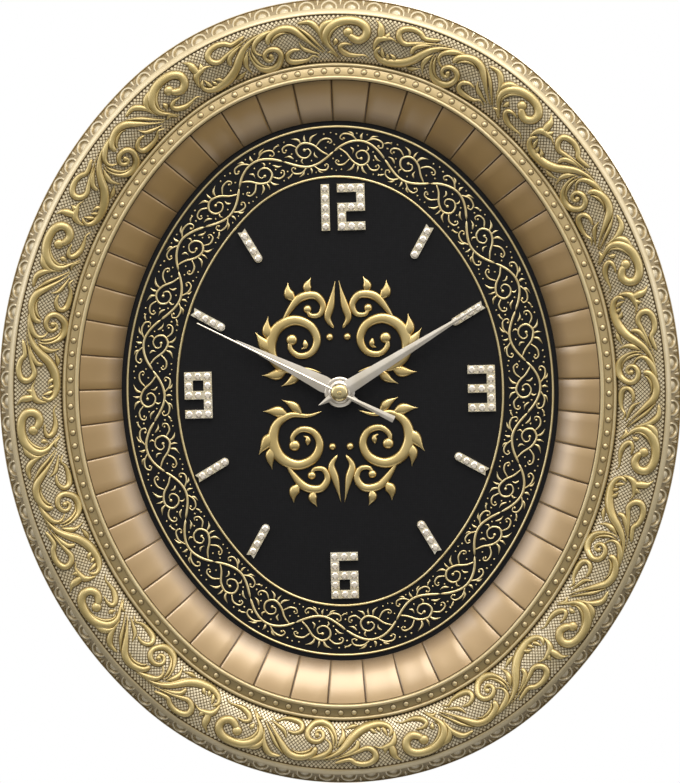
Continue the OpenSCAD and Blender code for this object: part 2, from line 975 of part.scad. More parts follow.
// Front half of the movement: a box open to the back, with the threaded bush and the battery bay's wall.
module movement_case() {
  inside = case_side - 2 * case_wall;
  pivots = [third_at, minute_at];
  color("#303034")
    place() {
      difference() {
        at_height(cover_top_z)
          linear_extrude(case_front_z - cover_top_z)
            rounded_square(case_side);
        translate([-inside / 2, bay_top_y + bay_wall, cover_top_z - eps])
          cube([inside, inside / 2 - bay_top_y - bay_wall, case_floor_z - cover_top_z + eps]);
        translate([-inside / 2, -inside / 2, cover_top_z - eps])
          cube([inside, bay_top_y + inside / 2, case_floor_z - cover_top_z + eps]);
        for (p = pivots)
          at_point(p)
            rod(arbor_r + run_clear, case_floor_z - eps, case_floor_z + pivot_depth + pivot_clear);
        rod(hour_tube_r + run_clear, case_floor_z - eps, case_front_z + eps);
      }
      difference() {
        rod(bush_r, case_front_z - eps, bush_top_z);
        rod(hour_tube_r + run_clear, case_floor_z, bush_top_z + eps);
      }
      at_plate_posts()
        rod(post_r, middle_z + middle_t, case_floor_z + eps);
    }
}

// Back cover with the battery's opening, the knob's hole and the posts that carry the board and the stator.
module movement_back_cover() {
  opening_l = case_side - 4 * case_wall;
  seat_z = cover_top_z - pivot_depth - pivot_clear;
  color("#3a3a3e")
    place() {
      difference() {
        at_height(cover_z)
          linear_extrude(case_wall)
            rounded_square(case_side);
        translate([-opening_l / 2, battery_y - battery_d / 2, cover_z - eps])
          cube([opening_l, battery_d, case_wall + 2 * eps]);
        at_point(minute_at)
          rod(arbor_r + run_clear, cover_z - eps, cover_top_z + eps);
        for (p = [third_at, fifth_at, rotor_at])
          at_point(p)
            rod(arbor_r + run_clear, seat_z, cover_top_z + eps);
        rod(second_arbor_r + run_clear, seat_z, cover_top_z + eps);
      }
      at_point(board_at)
        for (s = [-1, 1])
          translate([s * (board_size.x / 2 - board_post_in), 0])
            rod(post_r, cover_top_z - eps, board_z);
      for (s = [-1, 1])
        translate([coil_x, coil_y + s * stator_foot_y])
          rod(stator_arm_w / 2, cover_top_z - eps, stator_z);
    }
}

module rubber_washer() {
  color("#1a1a1a")
    place()
      difference() {
        rod(washer_r, case_front_z, dial_back_z);
        rod(bush_r + screw_clear, case_front_z - eps, dial_back_z + eps);
      }
}

module fixing_nut() {
  color("goldenrod")
    place()
      difference() {
        at_height(dial_z)
          cylinder(d = nut_corners, h = nut_t, $fn = 6);
        rod(bush_r + run_clear, dial_z - eps, dial_z + nut_t + eps);
      }
}

// Plate between the motor's wheels and the slow wheels.
module middle_plate() {
  color("whitesmoke")
    place()
      difference() {
        at_height(middle_z)
          linear_extrude(middle_t)
            polygon([[-16, -8.5], [16, -8.5], [16, 4], [5, 19], [-18, 14]]);
        rod(second_arbor_r + run_clear, middle_z - eps, middle_z + middle_t + eps);
        for (p = [third_at, minute_at, fifth_at, rotor_at])
          at_point(p)
            rod(arbor_r + run_clear, middle_z - eps, middle_z + middle_t + eps);
      }
}

// Stator plate: a ring round the rotor's magnet with an arm to each end of the coil.
module stator() {
  ring_r = magnet_r + stator_gap + stator_ring;
  arm_x = rotor_at.x + stator_shift;
  color("slategray")
    place()
      at_height(stator_z)
        linear_extrude(stator_t)
          difference() {
            union() {
              at_point(rotor_at)
                circle(r = ring_r);
              translate([arm_x, coil_y])
                square([stator_arm_w, 2 * stator_foot_y], center = true);
              for (s = [-1, 1])
                translate([arm_x - stator_arm_w / 2, coil_y + s * stator_foot_y - stator_arm_w / 2])
                  square([coil_x - arm_x + stator_arm_w, stator_arm_w]);
            }
            at_point(rotor_at)
              circle(r = magnet_r + stator_gap);
          }
}

module coil() {
  half = coil_l / 2;
  coil_z = stator_z + stator_t + coil_core_r;
  color("chocolate")
    place()
      translate([coil_x, coil_y, coil_z])
        rotate([90, 0, 0]) {
          rod(coil_core_r, -half - coil_core_end, half + coil_core_end);
          rod(coil_r, -half + coil_flange_t, half - coil_flange_t);
          for (s = [-1, 1])
            translate([0, 0, s * (half - coil_flange_t / 2)])
              cylinder(r = coil_r + coil_flange_rim, h = coil_flange_t, center = true);
        }
}

module circuit_board() {
  color("seagreen")
    place()
      translate([board_at.x, board_at.y, board_z]) {
        translate([-board_size.x / 2, -board_size.y / 2, 0])
          cube(board_size);
        translate([chip_x, 0, board_size.z - eps])
          cylinder(r = chip_r, h = chip_h);
      }
}

module quartz_crystal() {
  color("silver")
    place()
      at_point(board_at)
        translate([crystal_can_x, -crystal_can_l / 2, board_z + board_size.z + crystal_can_r])
          rotate([-90, 0, 0])
            cylinder(r = crystal_can_r, h = crystal_can_l);
}

// A leaf contact against one end wall of the battery bay.
module contact(side) {
  x = side * (case_half - case_wall - contact_t / 2);
  translate([x, battery_y, battery_z])
    cube([contact_t, contact_w, contact_w], center = true);
}

module contact_positive() {
  color("silver")
    place()
      contact(1);
}

// The negative contact carries the spring that presses the battery home.
module contact_negative() {
  color("silver")
    place() {
      contact(-1);
      translate([-bay_half, battery_y, battery_z])
        rotate([0, 90, 0])
          cylinder(r1 = contact_w / 2, r2 = button_r, h = spring_l);
    }
}

module battery() {
  color("dimgray")
    place()
      translate([spring_l - bay_half, battery_y, battery_z])
        rotate([0, 90, 0]) {
          cylinder(r = battery_d / 2, h = battery_l - button_l);
          cylinder(r = button_r, h = battery_l);
        }
}

// An arbor with a pivot in the back cover, up to height z1.
module arbor(r, z1) {
  rod(r, cover_top_z - pivot_depth, z1);
}

module rotor() {
  color("gray")
    place()
      at_point(rotor_at) {
        arbor(arbor_r, middle_z + middle_t);
        pinion(rotor_teeth, drive_module, level_drive, rotor_dir + 180);
        rod(magnet_r, stator_z, stator_z + stator_t);
      }
}

module fifth_wheel() {
  color("gold")
    place()
      at_point(fifth_at) {
        arbor(arbor_r, middle_z + middle_t);
        gear(fifth_teeth, drive_module, level_drive, wheel_t, rotor_dir, true);
        pinion(fifth_pinion_teeth, drive_module, level_second, fifth_dir + 180);
      }
}

module second_wheel() {
  color("gold")
    place() {
      arbor(second_arbor_r, second_hand_z + second_t + cap_h / 2);
      gear(second_teeth, drive_module, level_second, wheel_t, fifth_dir, true);
      pinion(second_pinion_teeth, third_module, level_third, third_dir);
    }
}

module third_wheel() {
  color("gold")
    place()
      at_point(third_at) {
        arbor(arbor_r, case_floor_z + pivot_depth);
        gear(third_teeth, third_module, level_third, wheel_t, third_dir + 180, true);
        pinion(third_pinion_teeth, centre_module, level_centre, third_dir + 180);
      }
}

// Centre wheel with its cannon pinion and the tube that carries the minute hand.
module centre_wheel() {
  color("gold")
    place()
      difference() {
        union() {
          rod(minute_arbor_r, level_centre, minute_hand_z + hand_t + tube_end);
          gear(centre_teeth, centre_module, level_centre, wheel_t, third_dir, true);
          pinion(cannon_teeth, cannon_module, level_minute, minute_dir);
        }
        rod(second_arbor_r + run_clear, level_centre - eps, minute_hand_z + hand_t + bore_over);
      }
}

module minute_wheel() {
  color("whitesmoke")
    place()
      at_point(minute_at) {
        rod(arbor_r, cover_z - knob_gap, case_floor_z + pivot_depth);
        gear(minute_teeth, cannon_module, level_minute, wheel_t, minute_dir + 180, true);
        pinion(minute_pinion_teeth, hour_module, level_hour, minute_dir + 180);
      }
}

// Knob on the minute wheel's arbor, just behind the back cover.
module setting_knob() {
  knob_top = cover_z - knob_gap;
  color("#28282a")
    place()
      at_point(minute_at)
        rod(knob_r, knob_top - knob_t, knob_top);
}

module hour_wheel() {
  color("whitesmoke")
    place()
      difference() {
        union() {
          rod(hour_tube_r, level_hour, hour_hand_z + hand_t + tube_end);
          gear(hour_teeth, hour_module, level_hour, wheel_t, minute_dir, true);
        }
        rod(minute_arbor_r + run_clear, level_hour - eps, hour_hand_z + hand_t + bore_over);
      }
}

// A tapering hand along +Y, widest beside its boss, with a pointed tail.
module hand_outline(length, width, boss) {
  shoulder = boss + width * 0.2;
  waist = width * 0.4;
  tip = 0.25;
  polygon([
    [-width / 2, shoulder], [-tip, length], [tip, length], [width / 2, shoulder],
    [waist, 0], [tip, -tail_l], [-tip, -tail_l], [-waist, 0]
  ]);
}

module hour_hand() {
  color("wheat")
    place()
      rotate(-hour_angle)
        difference() {
          union() {
            at_height(hour_hand_z)
              linear_extrude(hand_t) {
                hand_outline(hour_l, hour_w, boss_r);
                circle(r = boss_r);
              }
            rod(hour_tube_r + collet_wall, hour_hand_z - collet_h, hour_hand_z + eps);
          }
          rod(hour_tube_r, hour_hand_z - collet_h - eps, hour_hand_z + hand_t + eps);
        }
}

module minute_hand() {
  color("wheat")
    place()
      rotate(-minute_angle)
        difference() {
          union() {
            at_height(minute_hand_z)
              linear_extrude(hand_t) {
                hand_outline(minute_l, minute_w, cap_r);
                circle(r = cap_r + 1);
              }
            rod(minute_arbor_r + collet_wall, minute_hand_z - collet_h, minute_hand_z + eps);
          }
          rod(minute_arbor_r, minute_hand_z - collet_h - eps, minute_hand_z + hand_t + eps);
        }
}

module second_hand() {
  flare = second_w * 3;
  color("wheat")
    place()
      rotate(-second_angle)
        difference() {
          union() {
            at_height(second_hand_z)
              linear_extrude(second_t) {
                polygon([
                  [-second_w / 2, 0], [-second_w / 4, second_l], [second_w / 4, second_l], [second_w / 2, 0],
                  [flare / 2, -second_tail_l], [-flare / 2, -second_tail_l]
                ]);
                circle(r = cap_r - 0.5);
              }
            rod(second_arbor_r + collet_wall, second_hand_z - collet_h, second_hand_z + eps);
          }
          rod(second_arbor_r, second_hand_z - collet_h - eps, second_hand_z + second_t + eps);
        }
}

// Domed cap on the end of the second arbor.
module hand_cap() {
  dome_r = (cap_r * cap_r + cap_h * cap_h) / (2 * cap_h);
  base = second_hand_z + second_t;
  color("cornsilk")
    place()
      difference() {
        intersection() {
          at_height(base + cap_h - dome_r)
            sphere(r = dome_r);
          rod(cap_r, base, base + cap_h);
        }
        rod(second_arbor_r, base - eps, base + cap_h / 2 + run_clear);
      }
}

frame_moulding();
cove_ring();
dial_panel();
outer_trim_ring();
inner_trim_ring();
vine_band();
centre_ornament();
numeral_twelve();
numeral_three();
numeral_six();
numeral_nine();
hour_bars();
crystals();
dial_screws();
hanger_plate();
hanger_screws();
movement_case();
movement_back_cover();
rubber_washer();
fixing_nut();
middle_plate();
stator();
coil();
circuit_board();
quartz_crystal();
contact_positive();
contact_negative();
battery();
rotor();
fifth_wheel();
second_wheel();
third_wheel();
centre_wheel();
minute_wheel();
setting_knob();
hour_wheel();
hour_hand();
minute_hand();
second_hand();
hand_cap();
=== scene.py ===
"""Looks of an oval wall clock with a carved gold frame, a fluted cove ring and a black dial.

Lengths are in millimetres in the clock's own drawing, with x to the right, y up from the middle of the
dial and z towards the viewer. Drawing.stand turns them into the shared frame in metres.
"""

import json  # noqa: E402
import logging  # noqa: E402
import math  # noqa: E402
from dataclasses import dataclass  # noqa: E402
from enum import Enum  # noqa: E402

import bpy  # noqa: E402
import numpy as np  # noqa: E402
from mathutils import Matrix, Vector  # noqa: E402

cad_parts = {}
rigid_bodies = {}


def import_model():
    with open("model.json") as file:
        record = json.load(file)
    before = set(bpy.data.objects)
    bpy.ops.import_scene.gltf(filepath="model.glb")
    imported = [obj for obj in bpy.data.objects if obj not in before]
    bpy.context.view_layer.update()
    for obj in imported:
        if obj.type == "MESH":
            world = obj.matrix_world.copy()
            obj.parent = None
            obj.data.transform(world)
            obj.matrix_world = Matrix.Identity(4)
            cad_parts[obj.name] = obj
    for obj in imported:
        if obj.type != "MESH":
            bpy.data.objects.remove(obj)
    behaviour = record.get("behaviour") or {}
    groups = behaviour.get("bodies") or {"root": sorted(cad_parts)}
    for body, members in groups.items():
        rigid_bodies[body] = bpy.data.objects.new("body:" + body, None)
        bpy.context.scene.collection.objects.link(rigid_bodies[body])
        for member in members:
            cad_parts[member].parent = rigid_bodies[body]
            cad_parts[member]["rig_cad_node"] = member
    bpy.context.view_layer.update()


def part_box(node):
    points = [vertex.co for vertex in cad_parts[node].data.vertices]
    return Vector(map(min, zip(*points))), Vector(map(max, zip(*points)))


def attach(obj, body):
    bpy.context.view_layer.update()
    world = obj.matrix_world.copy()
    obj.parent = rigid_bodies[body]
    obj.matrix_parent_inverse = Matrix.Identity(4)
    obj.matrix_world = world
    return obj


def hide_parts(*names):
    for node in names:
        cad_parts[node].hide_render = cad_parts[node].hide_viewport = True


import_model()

LOG = logging.getLogger("oval_wall_clock")
MM = 0.001
# Name of the per-point channel that darkens recesses and feet: the paint's antiquing and painted shade together.
WASH_SHADE_ATTRIBUTE = "wash_shade_depth"


class Body(Enum):
    """Bodies that pieces ride on."""

    CASE = "clock_case"
    HOUR = "hour_body"
    MINUTE = "minute_body"
    SECOND = "second_body"


# Meshes


@dataclass
class Sheet:
    """A net of points with its faces and a value of antiquing and painted shade for each point.

    Attributes:
        points: Array of n by 3 drawing coordinates.
        quads: Array of faces with four corners each.
        tris: Array of faces with three corners each.
        wash_shade_depth: Antiquing and painted shade at each point, 0 on edges bared by wear, 1 in recesses.
    """

    points: np.ndarray
    quads: np.ndarray
    tris: np.ndarray
    wash_shade_depth: np.ndarray


def no_faces(corners: int) -> np.ndarray:
    """Returns an empty array of faces with this many corners."""
    return np.zeros((0, corners), dtype=np.int64)


def grid_sheet(points: np.ndarray, wash_shade_depth: np.ndarray, close_i: bool = False, close_j: bool = False) -> Sheet:
    """Joins one or more grids of points into quads.

    Args:
        points: Array of copies by rows by columns by 3.
        wash_shade_depth: Array that spreads over copies by rows by columns.
        close_i: Joins the last row to the first.
        close_j: Joins the last column to the first.

    Returns:
        A sheet whose faces turn from the row direction towards the column direction.
    """
    copies, rows, columns, _ = points.shape
    index = np.arange(copies * rows * columns).reshape(copies, rows, columns)
    if close_i:
        index = np.concatenate([index, index[:, :1]], axis=1)
    if close_j:
        index = np.concatenate([index, index[:, :, :1]], axis=2)
    corners = (index[:, :-1, :-1], index[:, 1:, :-1], index[:, 1:, 1:], index[:, :-1, 1:])
    quads = np.stack([c.ravel() for c in corners], axis=1)
    wash_and_shade = np.broadcast_to(wash_shade_depth, (copies, rows, columns)).ravel()
    return Sheet(points.reshape(-1, 3), quads, no_faces(3), wash_and_shade)


def fan_sheet(rings: np.ndarray, tips: np.ndarray, ring_wash_shade_depth: np.ndarray, tip_wash_shade_depth: float) -> Sheet:
    """Closes grids of rings with one tip point for each copy.

    Args:
        rings: Array of copies by rings by points by 3, from the foot to the top.
        tips: Array of copies by 3, the point over the last ring.
        ring_wash_shade_depth: Array that spreads over copies by rings by points.
        tip_wash_shade_depth: Antiquing and painted shade of the tips.

    Returns:
        A sheet of quads between the rings and triangles round the tips.
    """
    copies, levels, around, _ = rings.shape
    body = grid_sheet(rings, ring_wash_shade_depth, close_j=True)
    last = np.arange(copies * levels * around).reshape(copies, levels, around)[:, -1]
    tip = copies * levels * around + np.arange(copies)
    tris = np.stack(
        [last, np.broadcast_to(tip[:, None], last.shape), np.roll(last, -1, axis=1)], axis=2
    ).reshape(-1, 3)
    return Sheet(
        np.concatenate([body.points, tips]),
        body.quads,
        tris,
        np.concatenate([body.wash_shade_depth, np.full(copies, tip_wash_shade_depth)]),
    )


def join(sheets: list[Sheet]) -> Sheet:
    """Returns one sheet made of several, each with its own points."""
    starts = np.cumsum([0] + [len(s.points) for s in sheets])
    return Sheet(
        np.concatenate([s.points for s in sheets]),
        np.concatenate([s.quads + k for s, k in zip(sheets, starts)]),
        np.concatenate([s.tris + k for s, k in zip(sheets, starts)]),
        np.concatenate([s.wash_shade_depth for s in sheets]),
    )


@dataclass(frozen=True)
class Drawing:
    """Turns drawing coordinates into the shared frame.

    Attributes:
        hang_y: Height of the nail hole over the middle of the dial, in millimetres.
    """

    hang_y: float

    def stand(self, points: np.ndarray) -> np.ndarray:
        """Stands drawing points up on the wall: x stays, height above the wall goes towards -Y, up is +Z.

        Args:
            points: Array of n by 3 in millimetres.

        Returns:
            Array of n by 3 in metres.
        """
        return np.stack([points[:, 0], -points[:, 2], points[:, 1] - self.hang_y], axis=1) * MM

    def piece(
        self,
        name: str,
        sheet: Sheet,
        body: Body,
        slot: str,
        material: bpy.types.Material,
        nodes: tuple[str, ...] = (),
        smooth_deg: float | None = 40.0,
    ) -> bpy.types.Object:
        """Args:
            name: Name of the piece.
            sheet: Its surface in drawing coordinates.
            body: Body that it rides on.
            slot: Material slot of the record; not used.
            material: Finish of all its faces.
            nodes: CAD nodes that it stands for.
            smooth_deg: Edges sharper than this stay sharp; None leaves every face flat.

        Returns:
            The new object.
        """
        mesh = bpy.data.meshes.new(name)
        corners = np.concatenate([sheet.quads.ravel(), sheet.tris.ravel()])
        sizes = np.concatenate([np.full(len(sheet.quads), 4), np.full(len(sheet.tris), 3)])
        mesh.vertices.add(len(sheet.points))
        mesh.vertices.foreach_set("co", self.stand(sheet.points).astype(np.float32).ravel())
        mesh.loops.add(len(corners))
        mesh.loops.foreach_set("vertex_index", corners.astype(np.int32))
        mesh.polygons.add(len(sizes))
        mesh.polygons.foreach_set("loop_start", (np.cumsum(sizes) - sizes).astype(np.int32))
        mesh.update(calc_edges=True)
        wash_and_shade = mesh.attributes.new(WASH_SHADE_ATTRIBUTE, "FLOAT", "POINT")
        wash_and_shade.data.foreach_set("value", sheet.wash_shade_depth.astype(np.float32))
        mesh.validate()
        if smooth_deg is None:
            mesh.shade_flat()
        else:
            mesh.shade_smooth()
            mesh.set_sharp_from_angle(angle=math.radians(smooth_deg))
        mesh.materials.append(material)
        made = bpy.data.objects.new(name, mesh)
        bpy.context.scene.collection.objects.link(made)
        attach(made, body.value)
        if nodes:
            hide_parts(*nodes)
        LOG.info("%s: %d faces on %s", name, len(sizes), body.value)
        return made


# The oval and its section


@dataclass(frozen=True)
class Oval:
    """Outline of four arcs on the triangle with sides 20, 21 and 29.

    Attributes:
        half_w: Half of the width.
        half_h: Half of the height.
        legs: The triangle's legs, across and up.
    """

    half_w: float
    half_h: float
    legs: tuple[int, int] = (20, 21)

    @property
    def unit(self) -> float:
        """Returns the length of one unit of the triangle."""
        return (self.half_h - self.half_w) / (sum(self.legs) - math.hypot(*self.legs))

    @property
    def side_center(self) -> float:
        """Returns how far a side arc's centre lies beyond the middle."""
        return self.legs[0] * self.unit

    @property
    def end_center(self) -> float:
        """Returns how far an end arc's centre lies above or below the middle."""
        return self.legs[1] * self.unit

    @property
    def seam(self) -> float:
        """Returns the turn from twelve, in radians, where an end arc meets a side arc."""
        return math.atan2(*self.legs)

    def length(self, inset: float) -> float:
        """Returns the length of the outline at an inset."""
        return 4 * float(self._marks(inset)[1])

    def _marks(self, inset: float) -> tuple[float, float]:
        """Returns the arc length from twelve to the seam and to three."""
        end = (self.half_h - self.end_center - inset) * self.seam
        side = (self.half_w + self.side_center - inset) * (math.pi / 2 - self.seam)
        return end, end + side

    def turn(self, share: np.ndarray, inset: float) -> np.ndarray:
        """Finds the turn clockwise from twelve at a share of the outline's length.

        Args:
            share: Shares of the length, any number of rounds.
            inset: Inset at which the length is measured.

        Returns:
            Turns of the outward normal in radians.
        """
        end, quarter = self._marks(inset)
        knots = np.array([0, end, 2 * quarter - end, 2 * quarter + end, 4 * quarter - end, 4 * quarter])
        half, full = math.pi, 2 * math.pi
        turns = np.array([0, self.seam, half - self.seam, half + self.seam, full - self.seam, full])
        rounds = np.floor(share)
        return np.interp((share - rounds) * 4 * quarter, knots, turns) + 2 * math.pi * rounds

    def at(self, turn: np.ndarray, inset: np.ndarray) -> tuple[np.ndarray, np.ndarray]:
        """Finds points at a turn and an inset: arc centre plus the arc's radius less the inset, along the normal.

        Args:
            turn: Turns of the outward normal, clockwise from twelve.
            inset: Insets from the outline.

        Returns:
            The x and y coordinates.
        """
        sine, cosine = np.sin(turn), np.cos(turn)
        on_end = np.abs(cosine) >= math.cos(self.seam)
        radius = np.where(on_end, self.half_h - self.end_center, self.half_w + self.side_center) - inset
        cx = np.where(on_end, 0.0, -self.side_center * np.sign(sine))
        cy = np.where(on_end, self.end_center * np.sign(cosine), 0.0)
        return cx + radius * sine, cy + radius * cosine

    def ring(self, turn: np.ndarray, inset: np.ndarray, height: np.ndarray) -> np.ndarray:
        """Returns points at turns, insets and heights above the wall, spread over each other."""
        x, y = self.at(turn, inset)
        return np.stack(np.broadcast_arrays(x, y, height), axis=-1)


# Finishes

Value = float | tuple | bpy.types.NodeSocket


def linear(code: str) -> tuple[float, float, float, float]:
    """Turns an sRGB hex code into a linear colour with full alpha."""
    parts = [int(code[k : k + 2], 16) / 255 for k in (1, 3, 5)]
    return (*(p / 12.92 if p <= 0.04045 else ((p + 0.055) / 1.055) ** 2.4 for p in parts), 1.0)


def per_mm(size_mm: float) -> float:
    """Returns the scale of a pattern whose patches are this wide."""
    return 1 / (size_mm * MM)


class Tree:
    """The node tree of a material or the world while it is put together."""

    def __init__(self, owner: bpy.types.Material | bpy.types.World) -> None:
        """Starts an empty tree."""
        owner.use_nodes = True
        self.owner = owner
        self.tree = owner.node_tree
        self.tree.nodes.clear()

    def add(
        self, kind: str, inputs: dict[str | int, Value] | tuple = (), out: str | int = 0, **settings: object
    ) -> bpy.types.NodeSocket | None:
        """Adds a node with its settings, and sets or links its inputs.

        Args:
            kind: Type name of the node, without its common beginning.
            inputs: Values or output sockets in order, or by the input's name or number.
            out: Name or number of the output that is wanted.
            settings: Attributes of the node.

        Returns:
            The wanted output, or none where the node ends the tree.
        """
        node = self.tree.nodes.new(f"ShaderNode{kind}")
        for key, value in settings.items():
            setattr(node, key, value)
        for key, value in inputs.items() if isinstance(inputs, dict) else enumerate(inputs):
            if isinstance(value, bpy.types.NodeSocket):
                self.tree.links.new(value, node.inputs[key])
            else:
                node.inputs[key].default_value = value
        return node.outputs[out] if len(node.outputs) else None

    def surface(self, inputs: dict[str | int, Value]) -> bpy.types.Material:
        """Ends a material's tree with a Principled surface and returns the material."""
        self.add("OutputMaterial", {"Surface": self.add("BsdfPrincipled", inputs)})
        return self.owner


@dataclass(frozen=True)
class WashedMetal:
    """A gilded or plated surface: dark antiquing and painted shade in its recesses, painted highlight on its tops.

    Attributes:
        name: Real material and finish.
        base: Colour of the open surface.
        worn_and_highlight: Colour of edges and tops, paler from wear and from painted highlight.
        wash_and_shade: Colour in the recesses, of the antiquing and of painted shade.
        metallic: Share of metal.
        roughness: Roughness of the open surface; the wash is duller.
        cloud_mm: Size of the cloudy change of tone.
        grain_mm: Size of the fine grain.
        grain_depth_mm: Depth of the fine grain.
        coat: Share of clear lacquer, whose highlights are white.
        coat_ior: Refraction of the lacquer; more gives stronger highlights.
    """

    name: str
    base: str
    worn_and_highlight: str
    wash_and_shade: str
    metallic: float = 0.8
    roughness: float = 0.36
    cloud_mm: float = 14.0
    grain_mm: float = 0.35
    grain_depth_mm: float = 0.02
    coat: float = 0.8
    coat_ior: float = 1.5

    def make(self) -> bpy.types.Material:
        """Returns the material: antiquing and painted shade in recesses; tops paler from wear and painted highlight.
        """
        r = Tree(bpy.data.materials.new(self.name))
        place = r.add("TexCoord", out="Object")
        wash_and_shade = r.add("Attribute", out="Fac", attribute_name=WASH_SHADE_ATTRIBUTE)
        cloud = r.add("TexNoise", {"Vector": place, "Scale": per_mm(self.cloud_mm), "Detail": 2.0}, "Fac")
        grain = r.add("TexNoise", {"Vector": place, "Scale": per_mm(self.grain_mm), "Detail": 3.0}, "Fac")
        # Painted highlight: the paler colour goes where the value is low, for wear and for highlights on the tops.
        tops = r.add("MapRange", (wash_and_shade, 0.0, 0.35, 1.0, 0.0))
        patches = r.add("MapRange", (cloud, 0.3, 0.7, 0.35, 0.85))
        rubbed_and_highlit = r.add("Math", (tops, patches), operation="MULTIPLY")
        bare = r.add("Mix", {0: rubbed_and_highlit, 6: linear(self.base), 7: linear(self.worn_and_highlight)}, 2, data_type="RGBA")
        # Painted shade: the dark colour fills the recesses, antiquing and shade together.
        recess = r.add("MapRange", (wash_and_shade, 0.1, 1.0, 0.0, 0.95))
        broken = r.add("MapRange", (grain, 0.25, 0.7, 0.75, 1.0))
        held = r.add("Math", (recess, broken), operation="MULTIPLY")
        dull = min(self.roughness + 0.3, 0.8)
        return r.surface(
            {
                "Base Color": r.add("Mix", {0: held, 6: bare, 7: linear(self.wash_and_shade)}, 2, data_type="RGBA"),
                "Metallic": self.metallic,
                "Roughness": r.add("MapRange", (held, 0.0, 1.0, self.roughness, dull)),
                "Normal": r.add("Bump", {"Strength": 1.0, "Distance": self.grain_depth_mm * MM, "Height": grain}),
                "Coat Weight": r.add("MapRange", (held, 0.0, 1.0, self.coat, 0.3 * self.coat)),
                "Coat Roughness": 0.28,
                "Coat IOR": self.coat_ior,
            }
        )


@dataclass(frozen=True)
class BrushedMetal:
    """Bare or plated metal with fine lines.

    Attributes:
        name: Real material and finish.
        base: Main colour.
        shade: Colour of the duller streaks.
        roughness: Middle roughness.
        metallic: Share of metal.
        stretch: How far the lines are drawn out along the three axes.
        line_mm: Width of the lines.
        line_depth_mm: Depth of the lines.
        cloud_mm: Size of the cloudy change of tone.
    """

    name: str
    base: str
    shade: str
    roughness: float = 0.3
    metallic: float = 1.0
    stretch: tuple[float, float, float] = (1, 1, 1)
    line_mm: float = 0.3
    line_depth_mm: float = 0.006
    cloud_mm: float = 9.0

    def make(self) -> bpy.types.Material:
        """Returns the material: drawn-out noise changes tone, gloss and the surface together."""
        r = Tree(bpy.data.materials.new(self.name))
        place = r.add("TexCoord", out="Object")
        drawn = r.add("Mapping", {"Vector": place, "Scale": tuple(1 / s for s in self.stretch)})
        lines = r.add("TexNoise", {"Vector": drawn, "Scale": per_mm(self.line_mm), "Detail": 2.0}, "Fac")
        cloud = r.add("TexNoise", {"Vector": place, "Scale": per_mm(self.cloud_mm), "Detail": 2.0}, "Fac")
        dim = r.add("MapRange", (cloud, 0.35, 0.75, 0.0, 0.8))
        tone = r.add("Mix", {0: dim, 6: linear(self.base), 7: linear(self.shade)}, 2, data_type="RGBA")
        return r.surface(
            {
                "Base Color": tone,
                "Metallic": self.metallic,
                "Roughness": r.add("MapRange", (lines, 0.2, 0.8, self.roughness - 0.06, self.roughness + 0.1)),
                "Normal": r.add("Bump", {"Strength": 1.0, "Distance": self.line_depth_mm * MM, "Height": lines}),
            }
        )


@dataclass(frozen=True)
class Moulded:
    """Moulded plastic, rubber or board with a fine grain.

    Attributes:
        name: Real material and finish.
        base: Main colour.
        shade: Second tone.
        roughness: Roughness.
        grain_mm: Size of the grain.
        grain_depth_mm: Depth of the grain.
        cloud_mm: Size of the cloudy change of tone.
    """

    name: str
    base: str
    shade: str
    roughness: float = 0.5
    grain_mm: float = 0.5
    grain_depth_mm: float = 0.02
    cloud_mm: float = 12.0

    def make(self) -> bpy.types.Material:
        """Returns the material: a spark-eroded grain over a slightly uneven tone."""
        r = Tree(bpy.data.materials.new(self.name))
        place = r.add("TexCoord", out="Object")
        cloud = r.add("TexNoise", {"Vector": place, "Scale": per_mm(self.cloud_mm), "Detail": 2.0}, "Fac")
        grain = r.add("TexNoise", {"Vector": place, "Scale": per_mm(self.grain_mm), "Detail": 3.0}, "Fac")
        share = r.add("MapRange", (cloud, 0.3, 0.7, 0.0, 1.0))
        tone = r.add("Mix", {0: share, 6: linear(self.base), 7: linear(self.shade)}, 2, data_type="RGBA")
        return r.surface(
            {
                "Base Color": tone,
                "Roughness": r.add("MapRange", (grain, 0.2, 0.8, self.roughness - 0.08, self.roughness + 0.08)),
                "Normal": r.add("Bump", {"Strength": 1.0, "Distance": self.grain_depth_mm * MM, "Height": grain}),
            }
        )


@dataclass(frozen=True)
class Linen:
    """Black film with an embossed linen weave.

    Attributes:
        name: Real material and finish.
        base: Colour of the film.
        thread: Colour on top of the threads.
        pitch_mm: Distance from thread to thread.
        roughness: Roughness.
        depth_mm: Depth of the weave.
        cloud_mm: Size of the patches of stronger and weaker weave.
    """

    name: str
    base: str
    thread: str
    pitch_mm: float = 0.9
    roughness: float = 0.5
    depth_mm: float = 0.03
    cloud_mm: float = 2.4

    def make(self) -> bpy.types.Material:
        """Returns the material: two crossing sets of threads, uneven in strength."""
        r = Tree(bpy.data.materials.new(self.name))
        place = r.add("TexCoord", out="Object")
        thread = {"Vector": place, "Scale": math.pi / (10 * self.pitch_mm * MM), "Distortion": 1.2}
        sets = tuple(r.add("TexWave", thread, "Fac", bands_direction=axis) for axis in ("X", "Z"))
        cloud = r.add("TexNoise", {"Vector": place, "Scale": per_mm(self.cloud_mm), "Detail": 2.0}, "Fac")
        strong = r.add("MapRange", (cloud, 0.3, 0.7, 0.4, 1.0))
        weave = r.add("Math", (r.add("Math", sets, operation="MAXIMUM"), strong), operation="MULTIPLY")
        high = r.add("MapRange", (weave, 0.3, 1.0, 0.0, 1.0))
        tone = r.add("Mix", {0: high, 6: linear(self.base), 7: linear(self.thread)}, 2, data_type="RGBA")
        return r.surface(
            {
                "Base Color": tone,
                "Roughness": r.add("MapRange", (weave, 0.0, 1.0, self.roughness + 0.1, self.roughness - 0.1)),
                "Specular IOR Level": 0.2,
                "Normal": r.add("Bump", {"Strength": 1.0, "Distance": self.depth_mm * MM, "Height": weave}),
            }
        )


